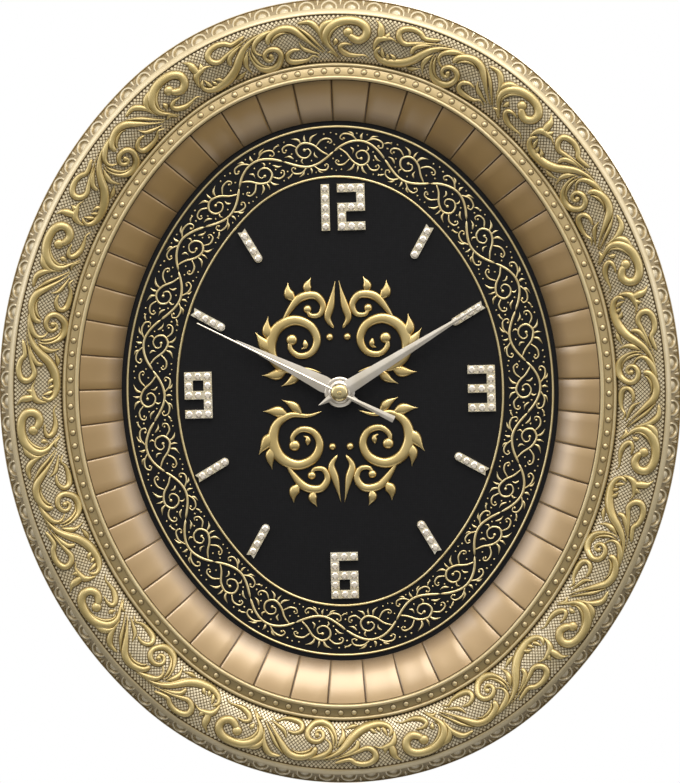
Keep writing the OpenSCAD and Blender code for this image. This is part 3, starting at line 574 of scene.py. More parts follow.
@dataclass(frozen=True)
class FoilStone:
    """Cut glass with a silver foil behind it.

    Attributes:
        name: Real material and finish.
        base: Colour of the foil through the glass.
        tint: Colour of the stones' shaded sides.
        cloud_mm: Size of the change from stone to stone.
    """

    name: str
    base: str
    tint: str
    cloud_mm: float = 3.0

    def make(self) -> bpy.types.Material:
        """Returns the material: the foil's mirror under a clear coat, a little different from stone to stone."""
        r = Tree(bpy.data.materials.new(self.name))
        place = r.add("TexCoord", out="Object")
        cloud = r.add("TexNoise", {"Vector": place, "Scale": per_mm(self.cloud_mm), "Detail": 0.0}, "Fac")
        spread = r.add("MapRange", (cloud, 0.3, 0.7, 0.0, 1.0))
        tone = r.add("Mix", {0: spread, 6: linear(self.base), 7: linear(self.tint)}, 2, data_type="RGBA")
        return r.surface(
            {
                "Base Color": tone,
                "Metallic": 0.45,
                "Roughness": r.add("MapRange", (spread, 0.0, 1.0, 0.1, 0.25)),
                "Coat Weight": 1.0,
                "Coat Roughness": 0.03,
            }
        )


@dataclass(frozen=True)
class Winding:
    """Enamelled wire in close turns.

    Attributes:
        name: Real material and finish.
        base: Colour of the wire's crown.
        gap: Colour between the turns.
        pitch_mm: Distance from turn to turn.
        depth_mm: Depth between two turns.
        axis: Axis that the turns follow one another along.
    """

    name: str
    base: str
    gap: str
    pitch_mm: float = 0.45
    depth_mm: float = 0.15
    axis: str = "Z"

    def make(self) -> bpy.types.Material:
        """Returns the material: round turns with dark lines between them."""
        r = Tree(bpy.data.materials.new(self.name))
        wire = {"Vector": r.add("TexCoord", out="Object"), "Scale": math.pi / (10 * self.pitch_mm * MM)}
        turns = r.add("TexWave", {**wire, "Distortion": 0.0}, "Fac", bands_direction=self.axis)
        tone = r.add("Mix", {0: turns, 6: linear(self.gap), 7: linear(self.base)}, 2, data_type="RGBA")
        return r.surface(
            {
                "Base Color": tone,
                "Metallic": 0.9,
                "Roughness": 0.32,
                "Normal": r.add("Bump", {"Strength": 1.0, "Distance": self.depth_mm * MM, "Height": turns}),
            }
        )


# Strokes laid on a surface


@dataclass(frozen=True)
class Stroke:
    """A raised line of a carving.

    Attributes:
        path: Points along its middle, in the carving's own steps.
        width: Greatest width in millimetres.
        start: Share of the width left at the first point.
        end: Share of the width left at the last point.
        rise: Height of the crown in millimetres.
    """

    path: tuple[tuple[float, float], ...]
    width: float
    start: float = 0.6
    end: float = 0.25
    rise: float = 1.2


def smooth_path(points: np.ndarray, steps: int) -> np.ndarray:
    """Runs a Catmull-Rom curve through points and divides it evenly.

    Args:
        points: Array of n by 2.
        steps: Number of points wanted.

    Returns:
        Array of steps by 2, evenly spaced along the curve.
    """
    padded = np.concatenate([2 * points[:1] - points[1:2], points, 2 * points[-1:] - points[-2:-1]])
    t = np.linspace(0, 1, 12, endpoint=False)[None, :, None]
    a, b, c, d = (padded[k : len(padded) - 3 + k, None, :] for k in range(4))
    curve = 0.5 * (2 * b + (c - a) * t + (2 * a - 5 * b + 4 * c - d) * t**2 + (3 * b - a - 3 * c + d) * t**3)
    fine = np.concatenate([curve.reshape(-1, 2), points[-1:]])
    run = np.concatenate([[0], np.cumsum(np.linalg.norm(np.diff(fine, axis=0), axis=1))])
    wanted = np.linspace(0, run[-1], steps)
    return np.stack([np.interp(wanted, run, fine[:, 0]), np.interp(wanted, run, fine[:, 1])], axis=1)


def swell(low: float, t: np.ndarray) -> np.ndarray:
    """Returns a factor that grows softly from low at 0 to one at 1."""
    k = np.clip(t, 0, 1)
    return low + (1 - low) * k * k * (3 - 2 * k)


def stroke_field(stroke: Stroke, steps: int, across: int, foot: float) -> tuple[np.ndarray, ...]:
    """Carries a half-round section along a stroke's path, thinning it towards both ends.

    The height at a share a of the half width is rise times the square root of one less a cubed.

    Args:
        stroke: The stroke, with its path in millimetres.
        steps: Points along it.
        across: Points across it.
        foot: How far the edges sink under the ground.

    Returns:
        Along, across, height and antiquing with painted shade, each an array of across by steps.
    """
    line = smooth_path(np.array(stroke.path, dtype=float), steps)
    way = np.gradient(line, axis=0)
    way /= np.linalg.norm(way, axis=1, keepdims=True) + 1e-9
    t = np.linspace(0, 1, steps)
    thin = swell(stroke.start, t / 0.4) * swell(stroke.end, (1 - t) / 0.6) * np.sqrt(1 - np.abs(2 * t - 1) ** 14)
    a = np.sin(np.linspace(-1, 1, across) * math.pi / 2)[:, None]
    half = stroke.width / 2 * thin[None, :]
    along = line[None, :, 0] + a * half * way[None, :, 1]
    aside = line[None, :, 1] - a * half * way[None, :, 0]
    crown = np.sqrt(np.clip(1 - np.abs(a) ** 3, 0, 1))
    height = stroke.rise * np.sqrt(thin)[None, :] * crown - foot * (1 - crown)
    # The flanks take antiquing and painted shade; the crown stays clean.
    return along, aside, height, np.broadcast_to(np.clip(0.95 - 1.3 * crown, 0, 1), along.shape)


def dome_field(
    x: float, y: float, rx: float, ry: float, rise: float, levels: int, around: int, foot: float
) -> tuple[np.ndarray, ...]:
    """Raises half of an ellipsoid on a surface.

    Args:
        x: Place of its middle along the surface.
        y: Place of its middle across the surface.
        rx: Half of its length.
        ry: Half of its width.
        rise: Height of its top.
        levels: Rings from the foot up.
        around: Points of a ring.
        foot: How far its edge sinks under the ground.

    Returns:
        Along, across and height of the rings, each levels by around, and their antiquing and painted shade.
    """
    up = np.linspace(0, 0.8, levels)[:, None] * math.pi / 2
    way = np.linspace(0, -2 * math.pi, around, endpoint=False)[None, :]
    along, aside = x + rx * np.cos(up) * np.cos(way), y + ry * np.cos(up) * np.sin(way)
    height = np.broadcast_to(rise * np.sin(up) - foot * (up == 0), along.shape)
    return along, aside, height, np.broadcast_to(np.clip(1 - 1.6 * np.sin(up), 0, 1), along.shape)


# Frame


@dataclass(frozen=True)
class Slope:
    """A straight stretch of the frame's section, from its inner upper edge to its outer lower edge.

    Attributes:
        inner: Inset and height of the inner edge.
        outer: Inset and height of the outer edge.
    """

    inner: tuple[float, float]
    outer: tuple[float, float]

    def lift(self, v: np.ndarray, height: np.ndarray) -> tuple[np.ndarray, np.ndarray]:
        """Finds inset and height above the wall at v millimetres outwards, raised along the normal."""
        run, fall = self.inner[0] - self.outer[0], self.inner[1] - self.outer[1]
        size = math.hypot(run, fall)
        return self.inner[0] - v - height * fall / size, self.inner[1] - v * fall / run + height * run / size


@dataclass(frozen=True)
class Crown:
    """The carved cushion's arc in the frame's section.

    Attributes:
        middle: Inset and height of the arc's middle.
        radius: Radius of the arc.
        inner: Inset of the cushion's inner edge.
    """

    middle: tuple[float, float]
    radius: float
    inner: float

    def lift(self, v: np.ndarray, height: np.ndarray) -> tuple[np.ndarray, np.ndarray]:
        """Finds inset and height above the wall at v millimetres outwards from the inner edge, raised."""
        du = self.inner - v - self.middle[0]
        dz = np.sqrt(self.radius**2 - du**2)
        grow = 1 + height / self.radius
        return self.middle[0] + du * grow, self.middle[1] + dz * grow


@dataclass
class FrameMoulding:
    """The carved frame: a swept shell, a hatched ground, scrolls, an egg-and-dart border and beads.

    Attributes:
        drawing: The clock's drawing.
        oval: Its outline.
        finish: Gilding of the carving.
        plain: Gilding of the plain mouldings and the beads.
        ground: Gilding of the hatched ground and the border.
        border: Width of the border.
        strip: Inset of the cushion's outer edge.
        cushion: Inset of the cushion's inner edge.
        line_r: Radius of the round line.
        bead_out: Inset of the bead band's outer edge.
        lip: Inset of the lip's middle.
        lip_r: Radius of the lip.
        depth: Height of the carving's top above the wall.
        carving: Height of the carving over the cushion.
        crown_in: Inset of the cushion's highest line.
        crown_r: Radius of the cushion.
        lowered: How far the modelled cushion lies under the finished one, to leave room for the leaves.
        strip_rise: Rise of the plain strip.
        border_rise: Rise of the border.
        band_rise: Rise of the bead band.
        lip_lift: Height of the lip's middle over the bead band.
        ledge: How far the ledge behind the lip lies under the lip's middle.
        sunk: How far the grounds lie under the finished surface.
        repeats: Repeats of the scroll round the frame.
        first: Share of the outline where the first repeat starts.
        steps: Carving steps in one repeat.
        eggs: Eggs of the border.
        beads: Beads of the bead band.
        hatch: Step of the hatched ground along the frame and across it.
        foot: Width of the dark line that runs along each side of a leaf.
        foot_rise: Height of that line.
        bold: How much wider the leaves are cut than they are drawn.
        base: Carving step of the cushion's inner edge.
        rim_rows: Rows of the section from the back of the rim to the cushion's edge.
    """

    drawing: Drawing
    oval: Oval
    finish: WashedMetal
    plain: WashedMetal
    ground: WashedMetal
    border: float = 5.5
    strip: float = 8.5
    cushion: float = 33.4
    line_r: float = 0.9
    bead_out: float = 35.2
    lip: float = 40.9
    lip_r: float = 1.1
    depth: float = 43.0
    carving: float = 1.2
    crown_in: float = 14.5
    crown_r: float = 28.0
    lowered: float = 0.7
    strip_rise: float = 2.5
    border_rise: float = 8.65
    band_rise: float = 1.2
    lip_lift: float = 0.7
    ledge: float = 2.9
    sunk: float = 0.9
    repeats: int = 11
    first: float = 0.018
    steps: float = 1504.0
    eggs: int = 100
    beads: int = 140
    hatch: tuple[float, float] = (2.1, 1.1)
    foot: float = 0.55
    foot_rise: float = 0.25
    bold: float = 1.1
    base: float = 532.0
    rim_rows: int = 14

    def __post_init__(self) -> None:
        """Works out the sections of cushion, border and bead band from the depth."""
        middle = (self.crown_in, self.depth - self.carving - self.crown_r)
        full = Crown(middle, self.crown_r, self.cushion)
        self.crown = Crown(middle, self.crown_r - self.lowered, self.cushion)
        self.line_z = float(full.lift(0.0, 0.0)[1])
        self.strip_top = float(full.lift(self.cushion - self.strip, 0.0)[1])
        self.strip_z = self.strip_top - self.strip_rise
        self.edge_z = self.strip_z - self.border_rise
        self.slope = Slope((self.border, self.strip_z), (0.0, self.edge_z))
        band_z = self.line_z + self.band_rise
        self.bead_slope = Slope((self.lip - self.lip_r, band_z), (self.bead_out, self.line_z))
        self.lip_z = band_z + self.lip_lift

    def build(self) -> None:
        """Makes all pieces of the frame in the place of its CAD node."""
        gold, plain, hatch = self.finish.make(), self.plain.make(), self.ground.make()
        names = ("frame_moulding",)
        rim = self.shell(slice(0, self.rim_rows))
        self.drawing.piece("frame_rim", rim, Body.CASE, "antique_gold", hatch, names, 30.0)
        rest = slice(self.rim_rows - 1, None)
        self.drawing.piece("frame_shell", self.shell(rest), Body.CASE, "antique_gold", plain, names, 30.0)
        self.drawing.piece("frame_ground", self.hatching(), Body.CASE, "antique_gold", hatch, names, None)
        self.drawing.piece("frame_scrolls", self.scrolls(), Body.CASE, "antique_gold", gold, names, 60.0)
        self.drawing.piece("frame_scroll_feet", self.scroll_feet(), Body.CASE, "antique_gold", gold, names, 60.0)
        self.drawing.piece("frame_border", self.egg_and_dart(), Body.CASE, "antique_gold", hatch, names, 60.0)
        self.drawing.piece("frame_beads", self.bead_row(), Body.CASE, "antique_gold", plain, names, 60.0)

    def section(self) -> np.ndarray:
        """Returns the closed section of the shell as rows of inset, height and patina, outer edge first."""
        v = np.linspace(self.cushion - self.strip, 0, 24)
        u, z = self.crown.lift(v, np.full_like(v, -self.sunk))
        half = np.linspace(math.pi, 0, 9)
        line = np.stack([self.cushion + self.line_r * (1 - np.cos(math.pi - half)),
                         self.line_z + self.line_r * np.sin(half), 0.5 - 0.5 * np.sin(half)], axis=1)
        lip = np.stack([self.lip + self.lip_r * np.cos(half), self.lip_z + self.lip_r * np.sin(half),
                        0.4 - 0.4 * np.sin(half)], axis=1)
        inner_u, inner_z = self.crown.lift(v[::-1], np.full_like(v, -3.0))
        rim, step = self.edge_z, self.strip_top
        low_u, low_z = self.slope.lift(np.array([self.border, 0.3]), np.full(2, -self.sunk))
        # Each row holds inset, height and the depth of antiquing and painted shade; undersides and recesses are
        # dark.
        outside = [(5.0, 0.0, 0.6), (2.0, 0.0, 0.5), (0.6, 0.6, 0.2), (0.0, 2.0, 0.1), (0.0, rim - 0.6, 0.0),
                   (0.25, rim + 0.2, 0.1), (low_u[0] + 0.1, low_z[0], 0.7), (low_u[1], low_z[1], 0.7),
                   (self.border, self.strip_z - 0.1, 0.4), (self.border + 0.5, self.strip_z + 0.55, 0.25),
                   (self.strip - 1.4, step - 0.95, 0.2), (self.strip - 0.6, step - 0.5, 0.2),
                   (self.strip - 0.1, step - 0.5, 0.3), (self.strip, step - 0.9, 0.7)]
        out_z, in_z = self.line_z, self.line_z + self.band_rise
        band = [(self.bead_out + 0.1, out_z - 0.1, 0.8), (self.bead_out + 0.5, out_z + 0.1, 0.3),
                (self.lip - self.lip_r - 0.5, in_z - 0.1, 0.3), (self.lip - self.lip_r, in_z - 0.1, 0.8)]
        ledge_z = self.lip_z - self.ledge
        back = [(self.lip + self.lip_r, ledge_z, 0.8), (self.lip - self.lip_r, ledge_z, 0.8)]
        hollow = [(self.border + 3.0, self.strip_z - 2.0, 0.8), (3.0, rim - 1.0, 0.8), (5.0, 0.0, 0.6)]
        inner = np.stack([inner_u, inner_z, np.full_like(inner_u, 0.8)], axis=1)[1:-1]
        cushion = np.stack([u, z, np.ones_like(u)], axis=1)
        parts = (outside, cushion, line, band, lip, back, inner, hollow)
        return np.concatenate([np.array(part) for part in parts])

    def shell(self, part: slice) -> Sheet:
        """Sweeps the section round the oval: arc centre plus radius less inset, at even shares of the outline.

        Args:
            part: The rows of the section that are swept.

        Returns:
            The swept surface.
        """
        rows = self.section()[part]
        turn = self.oval.turn(np.arange(480) / 480, self.cushion)
        points = self.oval.ring(turn[None, :], rows[:, :1], rows[:, 1:2])
        return grid_sheet(points[None], rows[None, :, 2:3], close_j=True)

    def lay(
        self, form: Crown | Slope, along: np.ndarray, v: np.ndarray, height: np.ndarray, inset: float
    ) -> np.ndarray:
        """Lays a flat carving on the frame: along runs clockwise at an inset, v outwards, height along the normal.

        Args:
            form: Stretch of the section that carries the carving.
            along: Millimetres clockwise from twelve.
            v: Millimetres outwards from the stretch's inner edge.
            height: Height over the stretch.
            inset: Inset at which along is measured.

        Returns:
            Points in drawing coordinates.
        """
        turn = self.oval.turn(along / self.oval.length(inset), inset)
        u, z = form.lift(v, height)
        return self.oval.ring(turn, u, z)

    def hatching(self) -> Sheet:
        """Leaves small flat-topped lozenges standing between crossed cuts, every other row half a step on.

        A lozenge narrows from its foot, nearly as wide as its cell, to a top of three quarters of that.
        """
        width, inset = self.cushion - self.strip, (self.cushion + self.strip) / 2
        columns, rows = round(self.oval.length(inset) / self.hatch[0]), round(width / self.hatch[1]) - 1
        step, drop = self.oval.length(inset) / columns, width / (rows + 1)
        j, i = (k.ravel()[:, None, None] for k in np.meshgrid(np.arange(columns), np.arange(rows)))
        along, v = (j + (i % 2) / 2) * step, width - (i + 1) * drop
        way = -np.arange(4)[None, None, :] * math.pi / 2
        share = np.array([0.98, 0.74])[None, :, None]
        height = np.array([-1.0, -0.2])[None, :, None]
        beside, out = along + step / 2 * share * np.cos(way), v + drop * share * np.sin(way)
        rings = self.lay(self.crown, beside, out, height, inset)
        tops = self.lay(self.crown, along[:, 0, 0], v[:, 0, 0], np.full(len(along), -0.2), inset)
        # Antiquing and painted shade darken each lozenge's foot all round; its top stays nearly clean.
        return fan_sheet(rings, tops, np.array([0.85, 0.1])[None, :, None], 0.0)

    def scroll_strokes(self) -> list[Stroke]:
        """Returns the leaves and volutes of one repeat, in carving steps along and down from the outer edge."""
        return [
            Stroke(((65, 415), (72, 360), (98, 318), (150, 303), (200, 300), (250, 325)), 3.3, 0.4, 0.15, 1.5),
            Stroke(((112, 325), (104, 265), (92, 210), (45, 165)), 3.7, 0.8, 0.1, 1.5),
            Stroke(((142, 312), (160, 280), (168, 245)), 2.7, 0.9, 0.1, 1.2),
            Stroke(((560, 196), (500, 216), (440, 226), (400, 197), (340, 183), (282, 194), (245, 225), (245, 270),
                    (275, 303), (312, 312), (355, 298), (440, 268), (560, 232), (660, 212)), 3.1, 0.7, 0.1, 1.5),
            Stroke(((118, 372), (84, 415), (108, 460), (180, 486), (262, 480), (332, 460), (402, 416), (462, 348),
                    (522, 290), (602, 246), (690, 221), (775, 205)), 4.4, 0.5, 0.15, 1.8),
            Stroke(((300, 480), (372, 462), (432, 418), (486, 352), (540, 300), (620, 262)), 1.7, 0.3, 0.2, 1.2),
            Stroke(((372, 380), (385, 325), (440, 286), (535, 252)), 2.7, 0.8, 0.1, 1.3),
            Stroke(((358, 492), (420, 486), (484, 462)), 2.1, 0.2, 0.2, 0.9),
            Stroke(((160, 455), (140, 425), (128, 380)), 2.1, 0.7, 0.3, 1.2),
            Stroke(((205, 462), (188, 440), (178, 418)), 2.0, 0.7, 0.2, 1.1),
            Stroke(((262, 462), (238, 436), (205, 418)), 2.1, 0.7, 0.2, 1.1),
            Stroke(((545, 320), (504, 380), (492, 432), (516, 500)), 3.0, 0.2, 0.2, 1.3),
            Stroke(((562, 300), (548, 360), (563, 430), (608, 490), (680, 513), (750, 495), (792, 440), (790, 398),
                    (760, 368), (710, 360), (667, 384), (660, 420), (690, 446), (722, 434), (722, 408)),
                   3.3, 0.2, 0.6, 1.7),
            Stroke(((578, 305), (572, 365), (590, 425), (630, 470), (690, 486)), 1.7, 0.2, 0.2, 1.2),
            Stroke(((798, 212), (684, 240), (616, 280), (594, 322), (606, 362), (648, 392)), 3.0, 0.2, 0.3, 1.5),
            Stroke(((714, 325), (726, 272), (780, 235), (850, 220), (922, 240), (985, 302), (1052, 370), (1112, 420),
                    (1165, 452)), 3.8, 0.8, 0.15, 1.8),
            Stroke(((742, 318), (758, 290), (802, 264), (862, 258), (905, 282)), 1.6, 0.5, 0.2, 1.2),
            Stroke(((950, 218), (1030, 290), (1100, 370), (1175, 446)), 1.8, 0.3, 0.3, 1.3),
            Stroke(((956, 345), (985, 400), (1040, 430), (1125, 458)), 2.0, 0.3, 0.3, 1.1),
            Stroke(((965, 410), (902, 403), (850, 430), (846, 470), (882, 495), (960, 501), (1020, 490), (1062, 466),
                    (1118, 488)), 2.8, 0.5, 0.3, 1.4),
            Stroke(((968, 200), (1050, 198), (1100, 238), (1132, 300), (1156, 392)), 3.1, 0.5, 0.2, 1.5),
            Stroke(((1256, 186), (1172, 228), (1136, 285), (1140, 350)), 3.5, 0.3, 0.3, 1.6),
            Stroke(((1296, 498), (1230, 430), (1184, 380), (1170, 320), (1200, 258), (1270, 208), (1360, 192),
                    (1442, 205),
                    (1493, 250), (1490, 312), (1440, 347), (1388, 330), (1352, 290)), 4.5, 0.15, 0.9, 2.0),
            Stroke(((1230, 405), (1200, 350), (1225, 285), (1290, 238), (1370, 222)), 1.6, 0.2, 0.2, 1.3),
            Stroke(((1250, 335), (1254, 365), (1238, 398)), 2.6, 0.3, 0.2, 1.1),
            Stroke(((1395, 385), (1332, 380), (1290, 402), (1310, 440), (1372, 466), (1440, 466), (1500, 460),
                    (1545, 484)),
                   2.8, 0.4, 0.2, 1.4),
            Stroke(((1180, 452), (1230, 446), (1275, 500)), 2.1, 0.3, 0.2, 1.0),
        ]

    def repeat(self) -> tuple[float, float, np.ndarray]:
        """Returns the inset of the cushion's middle, a carving step in millimetres and the start of each repeat."""
        inset = (self.cushion + self.strip) / 2
        pitch = self.oval.length(inset) / self.repeats
        starts = pitch * (np.arange(self.repeats) + self.first * self.repeats)
        return inset, pitch / self.steps, starts[:, None, None]

    def leaf(self, stroke: Stroke, wider: float, rise: float, sink: float, across: int) -> tuple[np.ndarray, ...]:
        """Sweeps a stroke over the crown, once for each repeat.

        Args:
            stroke: The stroke, in carving steps.
            wider: Millimetres added on each side.
            rise: Height of its crown.
            sink: How far its edges lie under the ground.
            across: Points across it.

        Returns:
            Points of all repeats and the antiquing and painted shade of one.
        """
        inset, grid, starts = self.repeat()
        path = tuple((x * grid, (self.base - y) * grid) for x, y in stroke.path)
        width = self.bold * stroke.width + 2 * wider
        drawn = Stroke(path, width, stroke.start, stroke.end, rise)
        along, v, height, wash_and_shade = stroke_field(drawn, 10 + 3 * len(path), across, sink)
        v = np.clip(v, 0.2, self.cushion - self.strip - 0.2)
        return self.lay(self.crown, along[None] + starts, v[None], height[None] - 0.2, inset), wash_and_shade[None]

    def scrolls(self) -> Sheet:
        """Sweeps every stroke over the crown, once for each repeat, and sets a ball in the volute's eye."""
        inset, grid, starts = self.repeat()
        made = [grid_sheet(*self.leaf(stroke, 0.0, stroke.rise, 0.9, 7)) for stroke in self.scroll_strokes()]
        for x, y, size, rise in ((1352, 288, 2.7, 1.7), (712, 412, 1.4, 1.2)):
            middle = (self.base - y) * grid
            along, v, height, wash_and_shade = dome_field(x * grid, middle, size, size, rise, 4, 12, 0.5)
            rings = self.lay(self.crown, along[None] + starts, v[None], height[None], inset)
            tops = self.lay(self.crown, x * grid + starts[:, 0, 0], np.array(middle), np.array(rise), inset)
            made.append(fan_sheet(rings, tops, wash_and_shade[None], 0.0))
        return join(made)

    def scroll_feet(self) -> Sheet:
        """Lays a low, wider stroke of antiquing and painted shade under each leaf: a dark line along its sides."""
        made = []
        for stroke in self.scroll_strokes():
            points, wash_and_shade = self.leaf(stroke, self.foot, self.foot_rise, 0.15, 5)
            made.append(grid_sheet(points, np.ones_like(wash_and_shade)))
        return join(made)

    def egg_and_dart(self) -> Sheet:
        """Sets eggs in raised arches on the border, with a dart between each two."""
        inset, reach = self.border / 2, self.border - 0.1
        pitch = self.oval.length(inset) / self.eggs
        starts = (pitch * np.arange(self.eggs))[:, None, None]
        round_way = np.linspace(-0.12, 1.12, 7) * math.pi
        arch = tuple((-4.0 * math.cos(a), 0.5 + 3.7 * math.sin(a)) for a in round_way)
        half = pitch / 2
        strokes = (
            (Stroke(arch, 1.35, 1.0, 1.0, 0.95), 12, 4),
            (Stroke(((half, 2.6), (half, 3.8), (half, 5.3)), 1.9, 0.15, 1.0, 0.85), 5, 4),
            (Stroke(((half - 0.9, 2.9), (half - 1.6, 4.0), (half - 2.3, 5.2)), 0.8, 0.4, 0.6, 0.7), 5, 3),
            (Stroke(((half + 0.9, 2.9), (half + 1.6, 4.0), (half + 2.3, 5.2)), 0.8, 0.4, 0.6, 0.7), 5, 3),
        )
        made = []
        for stroke, steps, across in strokes:
            along, v, height, wash_and_shade = stroke_field(stroke, steps, across, 0.6)
            out = np.clip(v, 0, reach)[None]
            points = self.lay(self.slope, along[None] + starts, out, height[None] - self.sunk, inset)
            made.append(grid_sheet(points, 0.15 + 0.85 * wash_and_shade[None]))
        along, v, height, wash_and_shade = dome_field(0.0, 0.6, 2.7, 2.5, 0.85, 3, 10, 0.3)
        out = np.clip(v, 0, reach)[None]
        rings = self.lay(self.slope, along[None] + starts, out, height[None] - self.sunk, inset)
        tops = self.lay(self.slope, starts[:, 0, 0], np.array(0.6), np.array(0.85 - self.sunk), inset)
        made.append(fan_sheet(rings, tops, 0.15 + 0.85 * wash_and_shade[None], 0.15))
        return join(made)

    def bead_row(self) -> Sheet:
        """Sets small half balls along the bead band, each in a dark ring of painted shadow."""
        inset = (self.bead_out + self.lip - self.lip_r) / 2
        starts = (self.oval.length(inset) * (np.arange(self.beads) + 0.5) / self.beads)[:, None, None]
        middle = inset - self.bead_out
        made = []
        # The second, wide and low dome is that dark ring: painted shadow round each bead.
        for size, rise, dark in ((1.55, 0.95, 0.0), (2.05, 0.12, 1.0)):
            along, v, height, wash_and_shade = dome_field(0.0, middle, size, size, rise, 3, 10, 0.2)
            rings = self.lay(self.bead_slope, along[None] + starts, v[None], height[None], inset)
            tops = self.lay(self.bead_slope, starts[:, 0, 0], np.array(middle), np.array(rise), inset)
            made.append(fan_sheet(rings, tops, np.maximum(wash_and_shade, dark)[None], dark))
        return join(made)


# Cove, dial and its relief


@dataclass
class CoveRing:
    """The bowed ring of separate tiles between the frame and the dial.

    Attributes:
        drawing: The clock's drawing.
        oval: Its outline.
        finish: Bronze of the tiles.
        outer: Inset and height of the tiles' outer edge.
        inner: Inset and height of the tiles' inner edge.
        radius: Radius of the bow.
        dial_z: Height of the dial above the wall.
        tiles: Number of tiles.
        groove: Depth of the groove between two tiles.
        tilt: How far one side of a tile stands over its other side.
    """

    drawing: Drawing
    oval: Oval
    finish: WashedMetal
    outer: tuple[float, float] = (42.3, 35.46)
    inner: tuple[float, float] = (63.1, 22.2)
    radius: float = 48.0
    dial_z: float = 21.0
    tiles: int = 49
    groove: float = 0.8
    tilt: float = 0.35

    def build(self) -> None:
        """Makes the ring in the place of its CAD node."""
        bronze = self.finish.make()
        self.drawing.piece("cove_tiles", self.surface(), Body.CASE, "satin_bronze", bronze, ("cove_ring",), 25.0)

    def surface(self) -> Sheet:
        """Sweeps a bowed arc round the oval and sinks it at every joint between tiles.

        The height is the arc's, plus a fall across each tile, less the groove near the tile's edges. Antiquing
        gathers in the grooves, and painted shade darkens the half next to the dial towards the dial.
        """
        du, dz = self.inner[0] - self.outer[0], self.inner[1] - self.outer[1]
        chord = math.hypot(du, dz)
        rise = math.sqrt(self.radius**2 - chord**2 / 4) / chord
        mu, mz = (self.outer[0] + self.inner[0]) / 2 + dz * rise, (self.outer[1] + self.inner[1]) / 2 - du * rise
        a, b = (math.atan2(p[1] - mz, p[0] - mu) for p in (self.outer, self.inner))
        sweep = np.linspace(a, b, 14)
        face_u, face_z = mu + self.radius * np.cos(sweep), mz + self.radius * np.sin(sweep)
        u = np.concatenate([[self.outer[0]], face_u, [self.inner[0], self.inner[0] - 1.6, self.outer[0] + 1.0]])
        z = np.concatenate([[self.dial_z], face_z, [self.dial_z, self.dial_z, self.dial_z]])
        moved = np.concatenate([[0], np.ones(14), [0, 0, 0]])[:, None]
        place = np.array([0.0, 0.014, 0.034, 0.06, 0.3, 0.5, 0.7, 0.94, 0.966, 0.986])
        sink = np.interp(place, [0, 0.014, 0.034, 0.06, 0.94, 0.966, 0.986, 1.0], [1, 1, 0.25, 0, 0, 0.1, 0.35, 1])
        share = ((np.arange(self.tiles)[:, None] + place[None, :]) / self.tiles).ravel()
        drop = np.tile(self.tilt * place - self.groove * sink, self.tiles)[None, :]
        turn = self.oval.turn(share, self.inner[0])
        points = self.oval.ring(turn[None, :], u[:, None], z[:, None] + moved * drop - 0.36 * moved)
        # Painted shade: the tiles darken over the half next to the dial, towards the dial.
        painted_shade_to_dial = np.concatenate([[0], 0.9 * np.clip(np.linspace(-1.0, 1, 14), 0, 1) ** 1.5, [1, 1, 1]])[:, None]
        wash_and_shade = np.maximum(np.tile(0.9 * sink, self.tiles)[None, :], painted_shade_to_dial)
        return grid_sheet(points[None], wash_and_shade[None], close_i=True, close_j=True)


@dataclass
class TrimRings:
    """The two thin gold lines on the dial.

    Attributes:
        drawing: The clock's drawing.
        oval: Its outline.
        material: Gold of the lines.
        insets: Node name and outer inset of each line.
        width: Width of a line.
        height: Height of a line.
        dial_z: Height of the dial above the wall.
    """

    drawing: Drawing
    oval: Oval
    material: bpy.types.Material
    insets: tuple[tuple[str, float], ...] = (("outer_trim_ring", 65.4), ("inner_trim_ring", 91.4))
    width: float = 1.3
    height: float = 0.9
    dial_z: float = 21.0

    def build(self) -> None:
        """Makes each line with a rounded back: its section is half of an ellipse."""
        way = np.linspace(math.pi, 0, 7)
        turn = self.oval.turn(np.arange(360) / 360, self.insets[0][1])
        for node, inset in self.insets:
            u = np.concatenate([inset + self.width / 2 * (1 + np.cos(way)), [inset + self.width / 2]])
            z = np.concatenate([self.dial_z + self.height * np.sin(way), [self.dial_z]])
            points = self.oval.ring(turn[None, :], u[:, None], z[:, None])
            wash_and_shade = np.concatenate([0.7 - 0.7 * np.sin(way), [1.0]])[None, :, None]
            sheet = grid_sheet(points[None], wash_and_shade, close_i=True, close_j=True)
            self.drawing.piece(f"{node}_round", sheet, Body.CASE, "pale_gold", self.material, (node,), 60.0)


